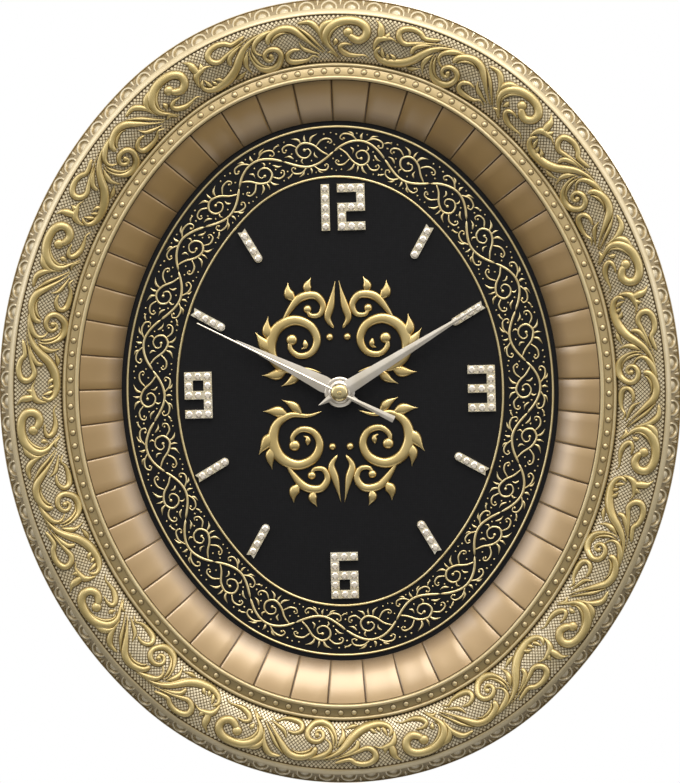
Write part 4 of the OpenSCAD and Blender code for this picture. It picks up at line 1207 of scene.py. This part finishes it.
@dataclass
class VineBand:
    """A running vine between the two gold lines.

    Attributes:
        drawing: The clock's drawing.
        oval: Its outline.
        material: Gold of the vine.
        inset: Inset of the vine's middle.
        repeats: Half waves of the stem, turned over by turns.
        height: Height of the vine.
        dial_z: Height of the dial above the wall.
    """

    drawing: Drawing
    oval: Oval
    material: bpy.types.Material
    inset: float = 79.05
    repeats: int = 26
    height: float = 0.6
    dial_z: float = 21.0

    def build(self) -> None:
        """Makes the vine in the place of its CAD node."""
        self.drawing.piece("vine_relief", self.relief(), Body.CASE, "pale_gold", self.material, ("vine_band",), 60.0)

    def strokes(self) -> list[Stroke]:
        """Returns one half wave in millimetres: the stem, its curls and tendrils, and slim leaves."""
        return [
            Stroke(((0, 0), (4.5, 3.4), (9, 5.6), (13.6, 6.4), (18, 5.6), (22.7, 3.2), (27.2, 0)), 1.3, 1.0, 1.0),
            Stroke(((2.5, 1.9), (6.5, -0.6), (10.5, -4.6), (15.4, -6.2), (19, -3.6), (18.2, 0.2), (14.8, 1.6),
                    (12, -0.4), (13, -2.8), (15.2, -2.4)), 1.2, 0.8, 0.6),
            Stroke(((15.5, 6.4), (19.5, 8.6), (23.6, 7.8), (24.4, 5.2), (22.2, 4.6)), 1.0, 0.7, 0.6),
            Stroke(((11.8, 6.2), (8.4, 8.9), (4.6, 9.2), (3.2, 7), (5, 5.9)), 1.0, 0.7, 0.6),
            Stroke(((8.8, -3.4), (5.8, -6.4), (2.2, -6.8), (0.8, -5), (2.4, -4.2)), 1.0, 0.7, 0.6),
            Stroke(((18.4, -4.8), (21.6, -7.2), (25, -6.6), (25.6, -4.4), (24, -3.8)), 1.0, 0.7, 0.6),
            Stroke(((11.6, -5.6), (10.6, -8.2), (7.4, -9.9)), 1.3, 0.5, 0.1),
            Stroke(((16, -6.2), (17.2, -8.6), (20.2, -9.9)), 1.3, 0.5, 0.1),
            Stroke(((13.8, -6.2), (14, -8.4), (13.4, -10.4)), 1.1, 0.5, 0.1),
            Stroke(((21.4, 0.6), (23.4, -1.4), (26, -1.8)), 1.2, 0.5, 0.1),
            Stroke(((8.6, 2.6), (10.2, 1.2), (10, -1)), 1.1, 0.5, 0.1),
            Stroke(((13.6, 7.2), (13.2, 8.8), (13.8, 10.6)), 1.3, 0.7, 0.1),
            Stroke(((17.4, 7.6), (18.6, 9.4), (21.4, 10.4)), 1.1, 0.5, 0.1),
            Stroke(((9.6, 8), (8.8, 9.8), (6.6, 10.6)), 1.1, 0.5, 0.1),
            Stroke(((24.6, 7.4), (26.6, 8.6), (28.6, 8.2)), 1.0, 0.5, 0.1),
            Stroke(((16.8, 1.4), (17.8, 2.9), (16.9, 4.5)), 1.0, 0.5, 0.1),
        ]

    def berries(self) -> tuple[tuple[float, float, float], ...]:
        """Returns place and radius of one half wave's berries, in millimetres."""
        return (
            (15, -2.6, 0.85), (22.3, 5.5, 0.65), (5.1, 6.9, 0.65), (2.6, -5.1, 0.6), (23.9, -4.9, 0.6),
            (1.4, 9, 0.55), (26.9, 5.6, 0.55), (4.4, -9.3, 0.5), (23.6, -9.3, 0.5), (0.4, 3.6, 0.5),
            (12.4, 3.6, 0.5), (20.4, 1.9, 0.5),
            (15.9, 10, 0.45), (11, 10, 0.45), (4, -2.2, 0.5), (21.8, -2.2, 0.5), (26.6, -9, 0.5), (1.2, -9.8, 0.45),
        )

    def relief(self) -> Sheet:
        """Lays every stroke flat on the dial for each half wave, and adds berries."""
        length = self.oval.length(self.inset)
        pitch = length / self.repeats
        starts = (pitch * np.arange(self.repeats))[:, None, None]
        side = np.where(np.arange(self.repeats) % 2 == 0, 1.0, -1.0)[:, None, None]
        stretch = pitch / 27.2
        made = []

        def lay(along: np.ndarray, v: np.ndarray, height: np.ndarray) -> np.ndarray:
            """Returns points on the dial, the across direction turned over with the half wave."""
            turn = self.oval.turn((starts + np.where(side > 0, along, pitch - along)) / length, self.inset)
            return self.oval.ring(turn, self.inset - side * v, self.dial_z + height)

        for stroke in self.strokes():
            path = tuple((x * stretch, y) for x, y in stroke.path)
            drawn = Stroke(path, stroke.width, stroke.start, stroke.end, self.height)
            along, v, height, wash_and_shade = stroke_field(drawn, 4 + 3 * len(path), 5, 0.0)
            made.append(grid_sheet(lay(along[None], v[None], height[None]), wash_and_shade[None]))
        for x, y, size in self.berries():
            along, v, height, wash_and_shade = dome_field(x * stretch, y, size, size, self.height, 3, 8, 0.0)
            rings = lay(along[None], v[None], height[None])
            tops = lay(np.full((1, 1, 1), x * stretch), np.full((1, 1, 1), y), np.full((1, 1, 1), self.height))
            made.append(fan_sheet(rings, tops.reshape(-1, 3), wash_and_shade[None], 0.0))
        return join(made)


@dataclass
class CentreOrnament:
    """The raised scrolls and leaves in the middle of the dial, the same in all four quarters.

    Attributes:
        drawing: The clock's drawing.
        material: Gold of the ornament.
        dial_z: Height of the dial above the wall.
        height: Height of the ornament.
    """

    drawing: Drawing
    material: bpy.types.Material
    dial_z: float = 21.0
    height: float = 1.8

    def build(self) -> None:
        """Makes the ornament in the place of its CAD node."""
        sheet = self.relief()
        nodes = ("centre_ornament",)
        self.drawing.piece("ornament_relief", sheet, Body.CASE, "antique_gold", self.material, nodes, 50.0)

    def strokes(self) -> list[Stroke]:
        """Returns the strokes of the upper right quarter, in millimetres from the middle of the dial."""
        return [
            Stroke(((9.5, 10), (17, 12.2), (26, 11.6), (33.5, 16.5), (35.5, 25.5), (31.5, 34), (23, 37.8),
                    (14.6, 34.6), (11.2, 27.4),
                    (14.2, 20.8), (20.8, 19.2), (25.4, 23.2), (24.6, 28.2)), 6.0, 0.25, 0.5),
            Stroke(((30, 35), (25.6, 42.5), (19.4, 49.4), (11.6, 50.4), (7.6, 45.4), (9.6, 40.4),
                    (14.4, 40.2), (16, 43.6)), 4.7, 0.3, 0.5),
            Stroke(((34, 20), (38.6, 25.4), (43.4, 32.2)), 6.8, 0.3, 0.05),
            Stroke(((35.4, 27), (37.2, 33.4), (36.4, 40)), 5.5, 0.3, 0.05),
            Stroke(((27, 12), (33, 9.6), (40.6, 9.4)), 6.0, 0.3, 0.05),
            Stroke(((20, 11.9), (24.6, 6.6), (30.6, 3.4)), 4.9, 0.3, 0.05),
            Stroke(((22, 47.6), (25.4, 52), (25.6, 57.6)), 5.7, 0.3, 0.05),
            Stroke(((14.6, 51), (15.6, 55.4), (13.4, 60)), 4.7, 0.3, 0.05),
            Stroke(((2.2, 33), (5.4, 38.6), (3.4, 46), (0.9, 58)), 4.4, 0.4, 0.1),
            Stroke(((17.6, 27.6), (17.4, 24), (19.6, 22.6)), 3.1, 0.4, 0.2),
        ]

    def relief(self) -> Sheet:
        """Carries each stroke over the dial in four quarters, and sets balls in the eyes of the scrolls."""
        made = []
        for right in (1.0, -1.0):
            for up in (1.0, -1.0):
                for stroke in self.strokes():
                    path = tuple((right * x, up * y) for x, y in stroke.path)
                    drawn = Stroke(path, stroke.width, stroke.start, stroke.end, self.height)
                    along, aside, height, wash_and_shade = stroke_field(drawn, 8 + 4 * len(path), 9, 0.0)
                    points = np.stack([along, aside, self.dial_z + height], axis=-1)
                    made.append(grid_sheet(points[None], wash_and_shade[None]))
                for x, y, size in ((24.4, 27.6, 2.9), (15.8, 43.4, 2.2), (4.6, 28.6, 1.9)):
                    along, aside, height, wash_and_shade = dome_field(right * x, up * y, size, size, self.height, 5, 20, 0.0)
                    rings = np.stack([along, aside, self.dial_z + height], axis=-1)[None]
                    tops = np.array([[right * x, up * y, self.dial_z + self.height]])
                    made.append(fan_sheet(rings, tops, wash_and_shade[None], 0.0))
        return join(made)


# Hour marks


@dataclass
class HourMarks:
    """Numerals and bars with a stone on every cell, held by small claws.

    Attributes:
        drawing: The clock's drawing.
        stone: Finish of the stones.
        claw: Finish of the claws and plates.
        digits: Node and rows of cells, top row first.
        cell: Side of a cell.
        trim: How far the numerals' edges lie inside their cells.
        bar_l: Length of a bar.
        notch: Depth of the notch in a bar's outer end.
        bar_r: Distance of the bars from the middle, next to twelve and six and next to three and nine.
        stone_r: Radius of a stone.
        table_r: Radius of a stone's table.
        stone_h: Height of a stone.
        top_z: Height of the plates above the wall.
    """

    drawing: Drawing
    stone: FoilStone
    claw: bpy.types.Material
    digits: tuple = (
        ("numeral_three", ("111", "001", "111", "001", "111")),
        ("numeral_six", ("111", "100", "111", "101", "111")),
        ("numeral_nine", ("111", "101", "111", "001", "111")),
    )
    cell: float = 4.95
    trim: float = 0.3
    bar_l: float = 19.0
    notch: float = 1.0
    bar_r: tuple[float, float] = (88.69, 77.86)
    stone_r: float = 2.0
    table_r: float = 1.15
    stone_h: float = 1.1
    top_z: float = 22.6

    def build(self) -> None:
        """Makes the stones in the place of their CAD node, and the claws beside them."""
        spots, turns = self.places()
        stones = self.stones(spots, turns)
        self.drawing.piece("cut_stones", stones, Body.CASE, "crystal", self.stone.make(), ("crystals",), None)
        claws = self.claws(spots[turns == 0], turns[turns == 0])
        self.drawing.piece("stone_claws", claws, Body.CASE, "cream_gold", self.claw, (), 60.0)

    def digit_cells(self, rows: tuple[str, ...], x: float, y: float) -> np.ndarray:
        """Returns the middles of a digit's filled cells round a middle."""
        filled = np.array([[c == "1" for c in row] for row in rows])
        row, column = np.nonzero(filled)
        return np.stack([x + (column - (filled.shape[1] - 1) / 2) * self.cell,
                         y - (row - (filled.shape[0] - 1) / 2) * self.cell], axis=1)

    def middle(self, node: str) -> tuple[float, float, float, float]:
        """Returns the left edge, right edge and middle of a CAD node on the drawing."""
        low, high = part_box(node)
        y = (low[2] + high[2]) / 2 / MM + self.drawing.hang_y
        return low[0] / MM, high[0] / MM, (low[0] + high[0]) / 2 / MM, y

    def places(self) -> tuple[np.ndarray, np.ndarray]:
        """Returns the stones' middles and the turn of the cell that each lies on."""
        spots = []
        for node, rows in self.digits:
            _, _, x, y = self.middle(node)
            spots.append(self.digit_cells(rows, x, y))
        left, right, _, y = self.middle("numeral_twelve")
        spots.append(self.digit_cells(("1",) * 5, left - self.trim + self.cell / 2, y))
        spots.append(self.digit_cells(("111", "001", "111", "100", "111"), right + self.trim - 1.5 * self.cell, y))
        upright = np.concatenate(spots)
        hours = np.array([h for h in range(12) if h % 3])
        reach = np.where((hours % 6 == 1) | (hours % 6 == 5), *self.bar_r)
        pitch = (self.bar_l - self.notch) / 4
        out = reach[:, None] - self.bar_l / 2 + (np.arange(4)[None, :] + 0.5) * pitch
        way = np.radians(30 * hours)[:, None]
        bars = np.stack([out * np.sin(way), out * np.cos(way)], axis=-1).reshape(-1, 2)
        turns = np.concatenate([np.zeros(len(upright)), np.repeat(-way[:, 0], 4)])
        return np.concatenate([upright, bars]), turns

    def stones(self, spots: np.ndarray, turns: np.ndarray) -> Sheet:
        """Cuts each stone with eight sides: a girdle, a crown that narrows and turns half a side, and a table."""
        crown_r = (self.stone_r + self.table_r) / 2 + 0.1
        radius = np.array([self.stone_r, self.stone_r, crown_r, self.table_r])[:, None]
        level = self.top_z + self.stone_h * np.array([0, 0.22, 0.72, 1.0])[:, None]
        way = -np.arange(8)[None, :] * math.pi / 4 + np.array([0, 0, math.pi / 8, math.pi / 8])[:, None]
        angle = way[None] + turns[:, None, None]
        x, y = spots[:, 0, None, None] + radius * np.cos(angle), spots[:, 1, None, None] + radius * np.sin(angle)
        rings = np.stack([x, y, np.broadcast_to(level, angle.shape)], axis=-1)
        tops = np.concatenate([spots, np.full((len(spots), 1), self.top_z + self.stone_h)], axis=1)
        return fan_sheet(rings, tops, np.zeros((1, 1, 1)), 0.0)

    def claws(self, spots: np.ndarray, turns: np.ndarray) -> Sheet:
        """Sets a small ball at each corner round every stone of a numeral."""
        corner = np.arange(4) * math.pi / 2 + math.pi / 4
        angle = (corner[None, :] + turns[:, None]).ravel()
        middle = np.repeat(spots, 4, axis=0) + 2.45 * np.stack([np.cos(angle), np.sin(angle)], axis=1)
        along, aside, height, wash_and_shade = dome_field(0.0, 0.0, 0.4, 0.4, 0.6, 2, 6, 0.1)
        rings = np.stack([middle[:, 0, None, None] + along[None], middle[:, 1, None, None] + aside[None],
                          np.broadcast_to(self.top_z + height, (len(middle), *along.shape))], axis=-1)
        tops = np.concatenate([middle, np.full((len(middle), 1), self.top_z + 0.6)], axis=1)
        return fan_sheet(rings, tops, 0.6 * wash_and_shade[None], 0.0)


# Hands


@dataclass(frozen=True)
class HandForm:
    """Sizes of one hand, along its own direction from the pivot.

    Attributes:
        node: CAD node that it stands for.
        body: Body that it rides on.
        turn_deg: Turn clockwise from twelve.
        base_z: Height of its back above the wall.
        thick: Thickness at the ridge.
        stations: Distance from the pivot and half width, tail first.
        boss: Radius of the round boss.
        bore: Radius of the hole.
        collar: Height of the collar behind the boss.
    """

    node: str
    body: Body
    turn_deg: float
    base_z: float
    thick: float
    stations: tuple[tuple[float, float], ...]
    boss: float
    bore: float
    collar: float = 1.0


def lathe(profile: np.ndarray, around: int, wash_shade_depth: float = 0.0) -> Sheet:
    """Turns a profile of radius and height round the dial's axis.

    Args:
        profile: Array of n by 2, from the outer foot inwards over the top.
        around: Points of a circle.
        wash_shade_depth: Antiquing and painted shade of all points.

    Returns:
        The turned surface, closed where the profile ends where it began.
    """
    way = np.linspace(0, -2 * math.pi, around, endpoint=False)[None, :]
    r, z = profile[:, :1], profile[:, 1:]
    points = np.stack(np.broadcast_arrays(r * np.cos(way), r * np.sin(way), z), axis=-1)
    return grid_sheet(points[None], np.full((1, 1, 1), wash_shade_depth), close_j=True)


@dataclass
class Hands:
    """Hour, minute and second hands with a ridge along the middle, and the cap over them.

    Attributes:
        drawing: The clock's drawing.
        metal: Finish of the hands.
        cap_metal: Finish of the cap.
        forms: The three hands.
        cap_r: Radius of the cap.
        cap_h: Height of the cap.
        cap_z: Height of the cap's foot above the wall.
    """

    drawing: Drawing
    metal: BrushedMetal
    cap_metal: BrushedMetal
    forms: tuple[HandForm, ...] = (
        HandForm("hour_hand", Body.HOUR, 298.0, 25.4, 0.6,
                 ((-12.9, 0.1), (-12.4, 0.3), (0.0, 3.44), (9.57, 4.3), (60.1, 0.28), (60.4, 0.12)), 7.85, 2.5),
        HandForm("minute_hand", Body.MINUTE, 59.6, 28.2, 0.6,
                 ((-12.9, 0.1), (-12.4, 0.3), (0.0, 2.96), (5.98, 3.7), (86.6, 0.28), (87.0, 0.12)), 5.5, 1.7),
        HandForm("second_hand", Body.SECOND, 297.5, 31.0, 0.4,
                 ((-31.5, 1.7), (-31.0, 1.8), (-5.0, 0.8), (0.0, 0.6), (60.0, 0.42), (82.2, 0.3), (82.4, 0.15)),
                 4.0, 0.6),
    )
    cap_r: float = 4.5
    cap_h: float = 2.2
    cap_z: float = 31.4

    def build(self) -> None:
        """Makes each hand and the cap in the place of their CAD nodes."""
        metal = self.metal.make()
        for form in self.forms:
            sheet = self.blade(form)
            self.drawing.piece(f"{form.node}_blade", sheet, form.body, "champagne_metal", metal, (form.node,), 12.0)
        shine, nodes = self.cap_metal.make(), ("hand_cap",)
        self.drawing.piece("hub_cap", self.cap(), Body.SECOND, "champagne_metal", shine, nodes, 25.0)

    def blade(self, form: HandForm) -> Sheet:
        """Carries a roof-shaped section along the hand and turns the boss and collar round the pivot.

        The section is flat behind, has thin upright edges and rises straight to a ridge in the middle.
        """
        y, half = np.array(form.stations).T
        side = np.array([-1.0, -1.0, -0.12, 0.12, 1.0, 1.0])[:, None]
        lift = np.array([0.0, 0.3, 1.0, 1.0, 0.3, 0.0])[:, None] * form.thick
        across = side * half[None, :]
        turn = math.radians(form.turn_deg)
        x = across * math.cos(turn) + y[None, :] * math.sin(turn)
        up = -across * math.sin(turn) + y[None, :] * math.cos(turn)
        points = np.stack(np.broadcast_arrays(x, up, form.base_z + lift), axis=-1)
        roof = grid_sheet(points[None], np.zeros((1, 1, 1)), close_i=True)
        caps = np.array([[0, 1, 2, 3], [3, 4, 5, 0]])
        count = len(y)
        ends = np.concatenate([caps[:, ::-1] * count, caps * count + count - 1])
        roof.quads = np.concatenate([roof.quads, ends])
        z0, z1, b = form.base_z, form.base_z + form.thick, form.boss
        outline = [(form.bore, z0 - form.collar), (form.bore + 0.9, z0 - form.collar), (form.bore + 0.9, z0),
                   (b, z0), (b, z0 + 0.5 * form.thick),
                   (b - 0.5, z1 - 0.02), (b - 1.6, z1 - 0.02), (b - 1.9, z1 - 0.22), (b - 2.3, z1 - 0.02),
                   (form.bore, z1 - 0.02), (form.bore, z0 - form.collar)]
        return join([roof, lathe(np.array(outline), 64)])

    def cap(self) -> Sheet:
        """Turns a shallow dome with a small raised point in its middle."""
        way = np.linspace(0, 1, 9)
        r = self.cap_r * np.cos(way * math.pi / 2 * 0.78)
        z = self.cap_z + (self.cap_h - 0.45) * np.sin(way * math.pi / 2)
        top = self.cap_z + self.cap_h
        outline = [(self.cap_r, self.cap_z), *zip(r[1:], z[1:]), (1.1, top - 0.42), (0.9, top - 0.1), (0.4, top)]
        dome = lathe(np.array(outline), 48)
        ring = np.arange(len(dome.points) - 48, len(dome.points))
        tip = len(dome.points)
        tris = np.stack([ring, np.full(48, tip), np.roll(ring, -1)], axis=1)
        points, wash_and_shade = np.concatenate([dome.points, [[0, 0, top]]]), np.concatenate([dome.wash_shade_depth, [0.0]])
        return Sheet(points, dome.quads, tris, wash_and_shade)


# Pieces that keep their CAD shape


@dataclass
class Works:
    """Dial board, movement, hanger and screws, which keep their CAD shape and take a finish.

    Attributes:
        finishes: Finish of each record slot, by the CAD nodes that wear it.
    """

    finishes: tuple[tuple[tuple[str, ...], object], ...]

    def build(self) -> None:
        """Puts each finish on its CAD nodes."""
        nodes = {o["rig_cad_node"]: o for o in bpy.data.objects if "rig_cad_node" in o}
        for names, finish in self.finishes:
            material = finish if isinstance(finish, bpy.types.Material) else finish.make()
            for name in names:
                slots = nodes[name].material_slots
                for place in slots:
                    place.material = material
                if not slots:
                    nodes[name].data.materials.append(material)
                LOG.info("%s: %s", name, material.name)


# Studio


@dataclass
class Studio:
    """Camera at the photograph's place, soft lamps, a pale floor and a white surround.

    Attributes:
        aim: Point that the camera looks at, in metres.
        distance: Distance of the camera.
        azimuth_deg: How far the camera stands to the right.
        elevation_deg: How far it stands above.
        roll_deg: Turn of the picture.
        tall: Height of the field of view at the aim.
        floor_z: Height of the floor.
    """

    aim: tuple[float, float, float]
    distance: float = 2.2
    azimuth_deg: float = 1.8
    elevation_deg: float = 3.5
    roll_deg: float = 1.5
    tall: float = 0.408
    floor_z: float = -2.4

    def build(self) -> None:
        """Makes surround, floor, lamps and camera."""
        bpy.context.scene.view_settings.view_transform = "Standard"
        self.surround()
        self.floor()
        self.lamp("key", (0.3, -0.95, 1.25), 2.0, 0.9, 31.0, "#fff9f0")
        self.lamp("left_fill", (-1.5, -0.5, 0.55), 0.9, 1.4, 10.0, "#f8f9ff")
        self.lamp("right_fill", (1.5, -0.4, 0.3), 0.7, 1.2, 5.0, "#f8f9ff")
        self.lamp("back_fill", (0.6, 1.4, 0.7), 1.2, 1.2, 14.0, "#ffffff")
        self.camera()

    def surround(self) -> None:
        """Makes the world: white to the camera, behind the clock and above, dark below in front of it."""
        world = bpy.data.worlds.new("studio_surround")
        bpy.context.scene.world = world
        n = Tree(world)
        way = n.add("TexCoord", out="Generated")
        room = n.add("MapRange", (n.add("SeparateXYZ", (way,), "Z"), -0.55, 0.5, 0.06, 1.0))
        behind = n.add("MapRange", (n.add("SeparateXYZ", (way,), "Y"), -0.1, 0.35, 0.0, 0.3))
        light = n.add("Math", (room, behind), operation="MAXIMUM")
        seen = n.add("Math", (n.add("LightPath", out="Is Camera Ray"), light), operation="MAXIMUM")
        spread = n.add("Math", (room, 0.55), operation="MULTIPLY")
        strength = n.add("Mix", {0: n.add("LightPath", out="Is Diffuse Ray"), 2: seen, 3: spread})
        n.add("OutputWorld", {"Surface": n.add("Background", {"Color": (1, 1, 1, 1), "Strength": strength})})

    def floor(self) -> None:
        """Makes a wide pale floor well below the clock."""
        side = 1.2
        near, far = -1.9, 0.5
        corners = [(x, y, self.floor_z) for x, y in ((-side, near), (side, near), (side, far), (-side, far))]
        mesh = bpy.data.meshes.new("floor")
        mesh.from_pydata(corners, [], [(0, 1, 2, 3)])
        made = bpy.data.objects.new("floor", mesh)
        bpy.context.scene.collection.objects.link(made)
        mesh.materials.append(Moulded("white paper sweep", "#f7f7f6", "#f3f3f2", 0.9, 1.5, 0.01).make())

    def lamp(self, name: str, place: tuple, wide: float, high: float, watts: float, tint: str) -> None:
        """Hangs one soft box that looks at the clock."""
        data = bpy.data.lights.new(name, "AREA")
        data.shape, data.size, data.size_y = "RECTANGLE", wide, high
        data.energy, data.color = watts, linear(tint)[:3]
        made = bpy.data.objects.new(name, data)
        bpy.context.scene.collection.objects.link(made)
        made.location = place
        made.rotation_euler = (Vector(self.aim) - Vector(place)).to_track_quat("-Z", "Y").to_euler()

    def camera(self) -> None:
        """Sets the camera up so that the clock fills the picture as in the photograph."""
        a, e = math.radians(self.azimuth_deg), math.radians(self.elevation_deg)
        back = Vector((math.sin(a) * math.cos(e), -math.cos(a) * math.cos(e), math.sin(e)))
        data = bpy.data.cameras.new("photo_camera")
        data.sensor_width = 36.0
        data.lens = data.sensor_width * self.distance / self.tall
        data.dof.use_dof = False
        made = bpy.data.objects.new("photo_camera", data)
        bpy.context.scene.collection.objects.link(made)
        made.location = Vector(self.aim) + back * self.distance
        turn = (-back).to_track_quat("-Z", "Y").to_euler()
        made.rotation_euler = turn
        made.rotation_euler.rotate_axis("Z", math.radians(-self.roll_deg))
        bpy.context.scene.camera = made


# Antique gold paint: yellow-gold crowns with painted highlight over brown recesses of antiquing and painted shade,
# so the carving reads at a distance.
ANTIQUE_GOLD = WashedMetal("antique gold paint on resin", "#ae9554", "#cfba7c", "#4a391b", 0.5, 0.4, coat=1.0)
# The same paint, thinner and paler, on the plain mouldings.
PLAIN_GOLD = WashedMetal("thin gold paint on resin", "#bfa873", "#dccb9e", "#5f4c2e", 0.45, 0.4, coat=1.0)
# The same gold, paler from wear on the hatched ground, whose tops glint whitish as painted highlight between brown
# cuts of antiquing and painted shade.
HATCHED_GOLD = WashedMetal(
    "rubbed gold paint on hatched resin", "#cdb98a", "#ebe0c4", "#634d2a", 0.4, 0.42, 9.0, coat=1.0
)
# Satin bronze lacquer: brown and soft, dark where it looks down and warm where it looks up; its dark colour is also
# the painted shade on the tiles next to the dial.
SATIN_BRONZE = WashedMetal(
    "satin bronze lacquer on resin", "#9d7d49", "#aa8a54", "#3a2a16", 0.32, 0.42, 30.0, 0.4, 0.01, 1.0, 1.8
)
# Pale gold foil: a thin bright line against the black.
PALE_GOLD = WashedMetal("pale gold foil", "#d8bf80", "#ecdcaa", "#6d5628", 0.8, 0.3, 8.0, 0.3, 0.008)
# Satin gold plate of the ornament: warm yellow crowns with painted highlight, and edges darkened
# by antiquing and painted shade.
ORNAMENT_GOLD = WashedMetal("satin gold plate", "#c9a95e", "#e3cb8c", "#6b5022", 0.85, 0.3, 22.0, 0.3, 0.006)
# Cream gold plate under the stones, nearly as light as they are.
CREAM_GOLD = BrushedMetal("cream gold plate", "#f0e8d2", "#e0d0a4", 0.3, 0.6)
# Foil-backed cut glass: warm white flashes and cream facets.
CUT_STONE = FoilStone("foil-backed cut glass", "#fbf2e2", "#e6d9c4")
# Champagne anodised aluminium: satin, between silver and cream.
CHAMPAGNE = BrushedMetal("champagne anodised aluminium", "#e9e1d3", "#d8cdb8", 0.32, 0.8, (1, 1, 1), 0.25)
# Cream gold plated brass of the cap: glossier and yellower than the hands.
CAP_GOLD = BrushedMetal("cream gold plated brass", "#e6d6a8", "#d3bf88", 0.22, 0.95)
# Black film with a linen weave: deep, with a faint thread.
BLACK_DIAL = Linen("black linen-embossed film", "#0b0b0d", "#141416")
# Zinc plate: cool grey with soft gloss.
ZINC = BrushedMetal("zinc plated steel", "#b4b8bd", "#8f949b", 0.36, 1.0, (6, 1, 1), 0.4)
# Rolled brass of the wheels and the nut: yellow, with fine lines from the rolls.
BRASS = BrushedMetal("rolled brass", "#c8a04e", "#a9843c", 0.3, 1.0, (1, 1, 5), 0.2)
# Black polystyrene from the mould: dull, with a fine spark-eroded grain.
BLACK_CASE = Moulded("black polystyrene", "#26262a", "#1f1f22", 0.45, 0.6, 0.03)
# Black rubber: the dullest of the blacks.
RUBBER = Moulded("black rubber", "#191919", "#232323", 0.75, 0.8, 0.05)
# White acetal: milky and smooth.
WHITE_PLASTIC = Moulded("white acetal", "#ece9e1", "#dfdbd0", 0.4, 0.4, 0.01)
# Green solder mask: dark green with a soft gloss.
BOARD = Moulded("green solder mask", "#1f5a3b", "#184a30", 0.35, 0.7, 0.01)
# Printed battery jacket: grey, smooth and glossier than the case around it.
JACKET = Moulded("grey printed battery jacket", "#4d5056", "#3d4046", 0.28, 1.2, 0.005)
# Enamelled copper wire: reddish brown turns with dark lines between them.
COPPER = Winding("enamelled copper wire", "#b5652f", "#5a2c12")


def main() -> None:
    """Builds the clock's pieces, dresses its works and sets the studio up."""
    logging.basicConfig(level=logging.INFO, format="%(message)s")
    low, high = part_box("frame_moulding")
    drawing = Drawing(-(low[2] + high[2]) / 2 / MM)
    oval = Oval((high[0] - low[0]) / 2 / MM, (high[2] - low[2]) / 2 / MM)
    pale, cream = PALE_GOLD.make(), CREAM_GOLD.make()
    FrameMoulding(drawing, oval, ANTIQUE_GOLD, PLAIN_GOLD, HATCHED_GOLD, depth=-low[1] / MM).build()
    CoveRing(drawing, oval, SATIN_BRONZE).build()
    TrimRings(drawing, oval, pale).build()
    VineBand(drawing, oval, pale).build()
    CentreOrnament(drawing, ORNAMENT_GOLD.make()).build()
    HourMarks(drawing, CUT_STONE, cream).build()
    Hands(drawing, CHAMPAGNE, CAP_GOLD).build()
    Works(
        (
            (("dial_panel",), BLACK_DIAL),
            (("numeral_twelve", "numeral_three", "numeral_six", "numeral_nine", "hour_bars"), cream),
            (("dial_screws", "hanger_plate", "hanger_screws", "quartz_crystal", "contact_positive",
              "contact_negative", "stator", "rotor"), ZINC),
            (("movement_case", "movement_back_cover", "setting_knob"), BLACK_CASE),
            (("rubber_washer",), RUBBER),
            (("fixing_nut", "fifth_wheel", "second_wheel", "third_wheel", "centre_wheel"), BRASS),
            (("middle_plate", "minute_wheel", "hour_wheel"), WHITE_PLASTIC),
            (("circuit_board",), BOARD),
            (("coil",), COPPER),
            (("battery",), JACKET),
        )
    ).build()
    middle = (0.0, -0.02, -drawing.hang_y * MM)
    Studio(middle).build()


if __name__ == "__main__":
    main()
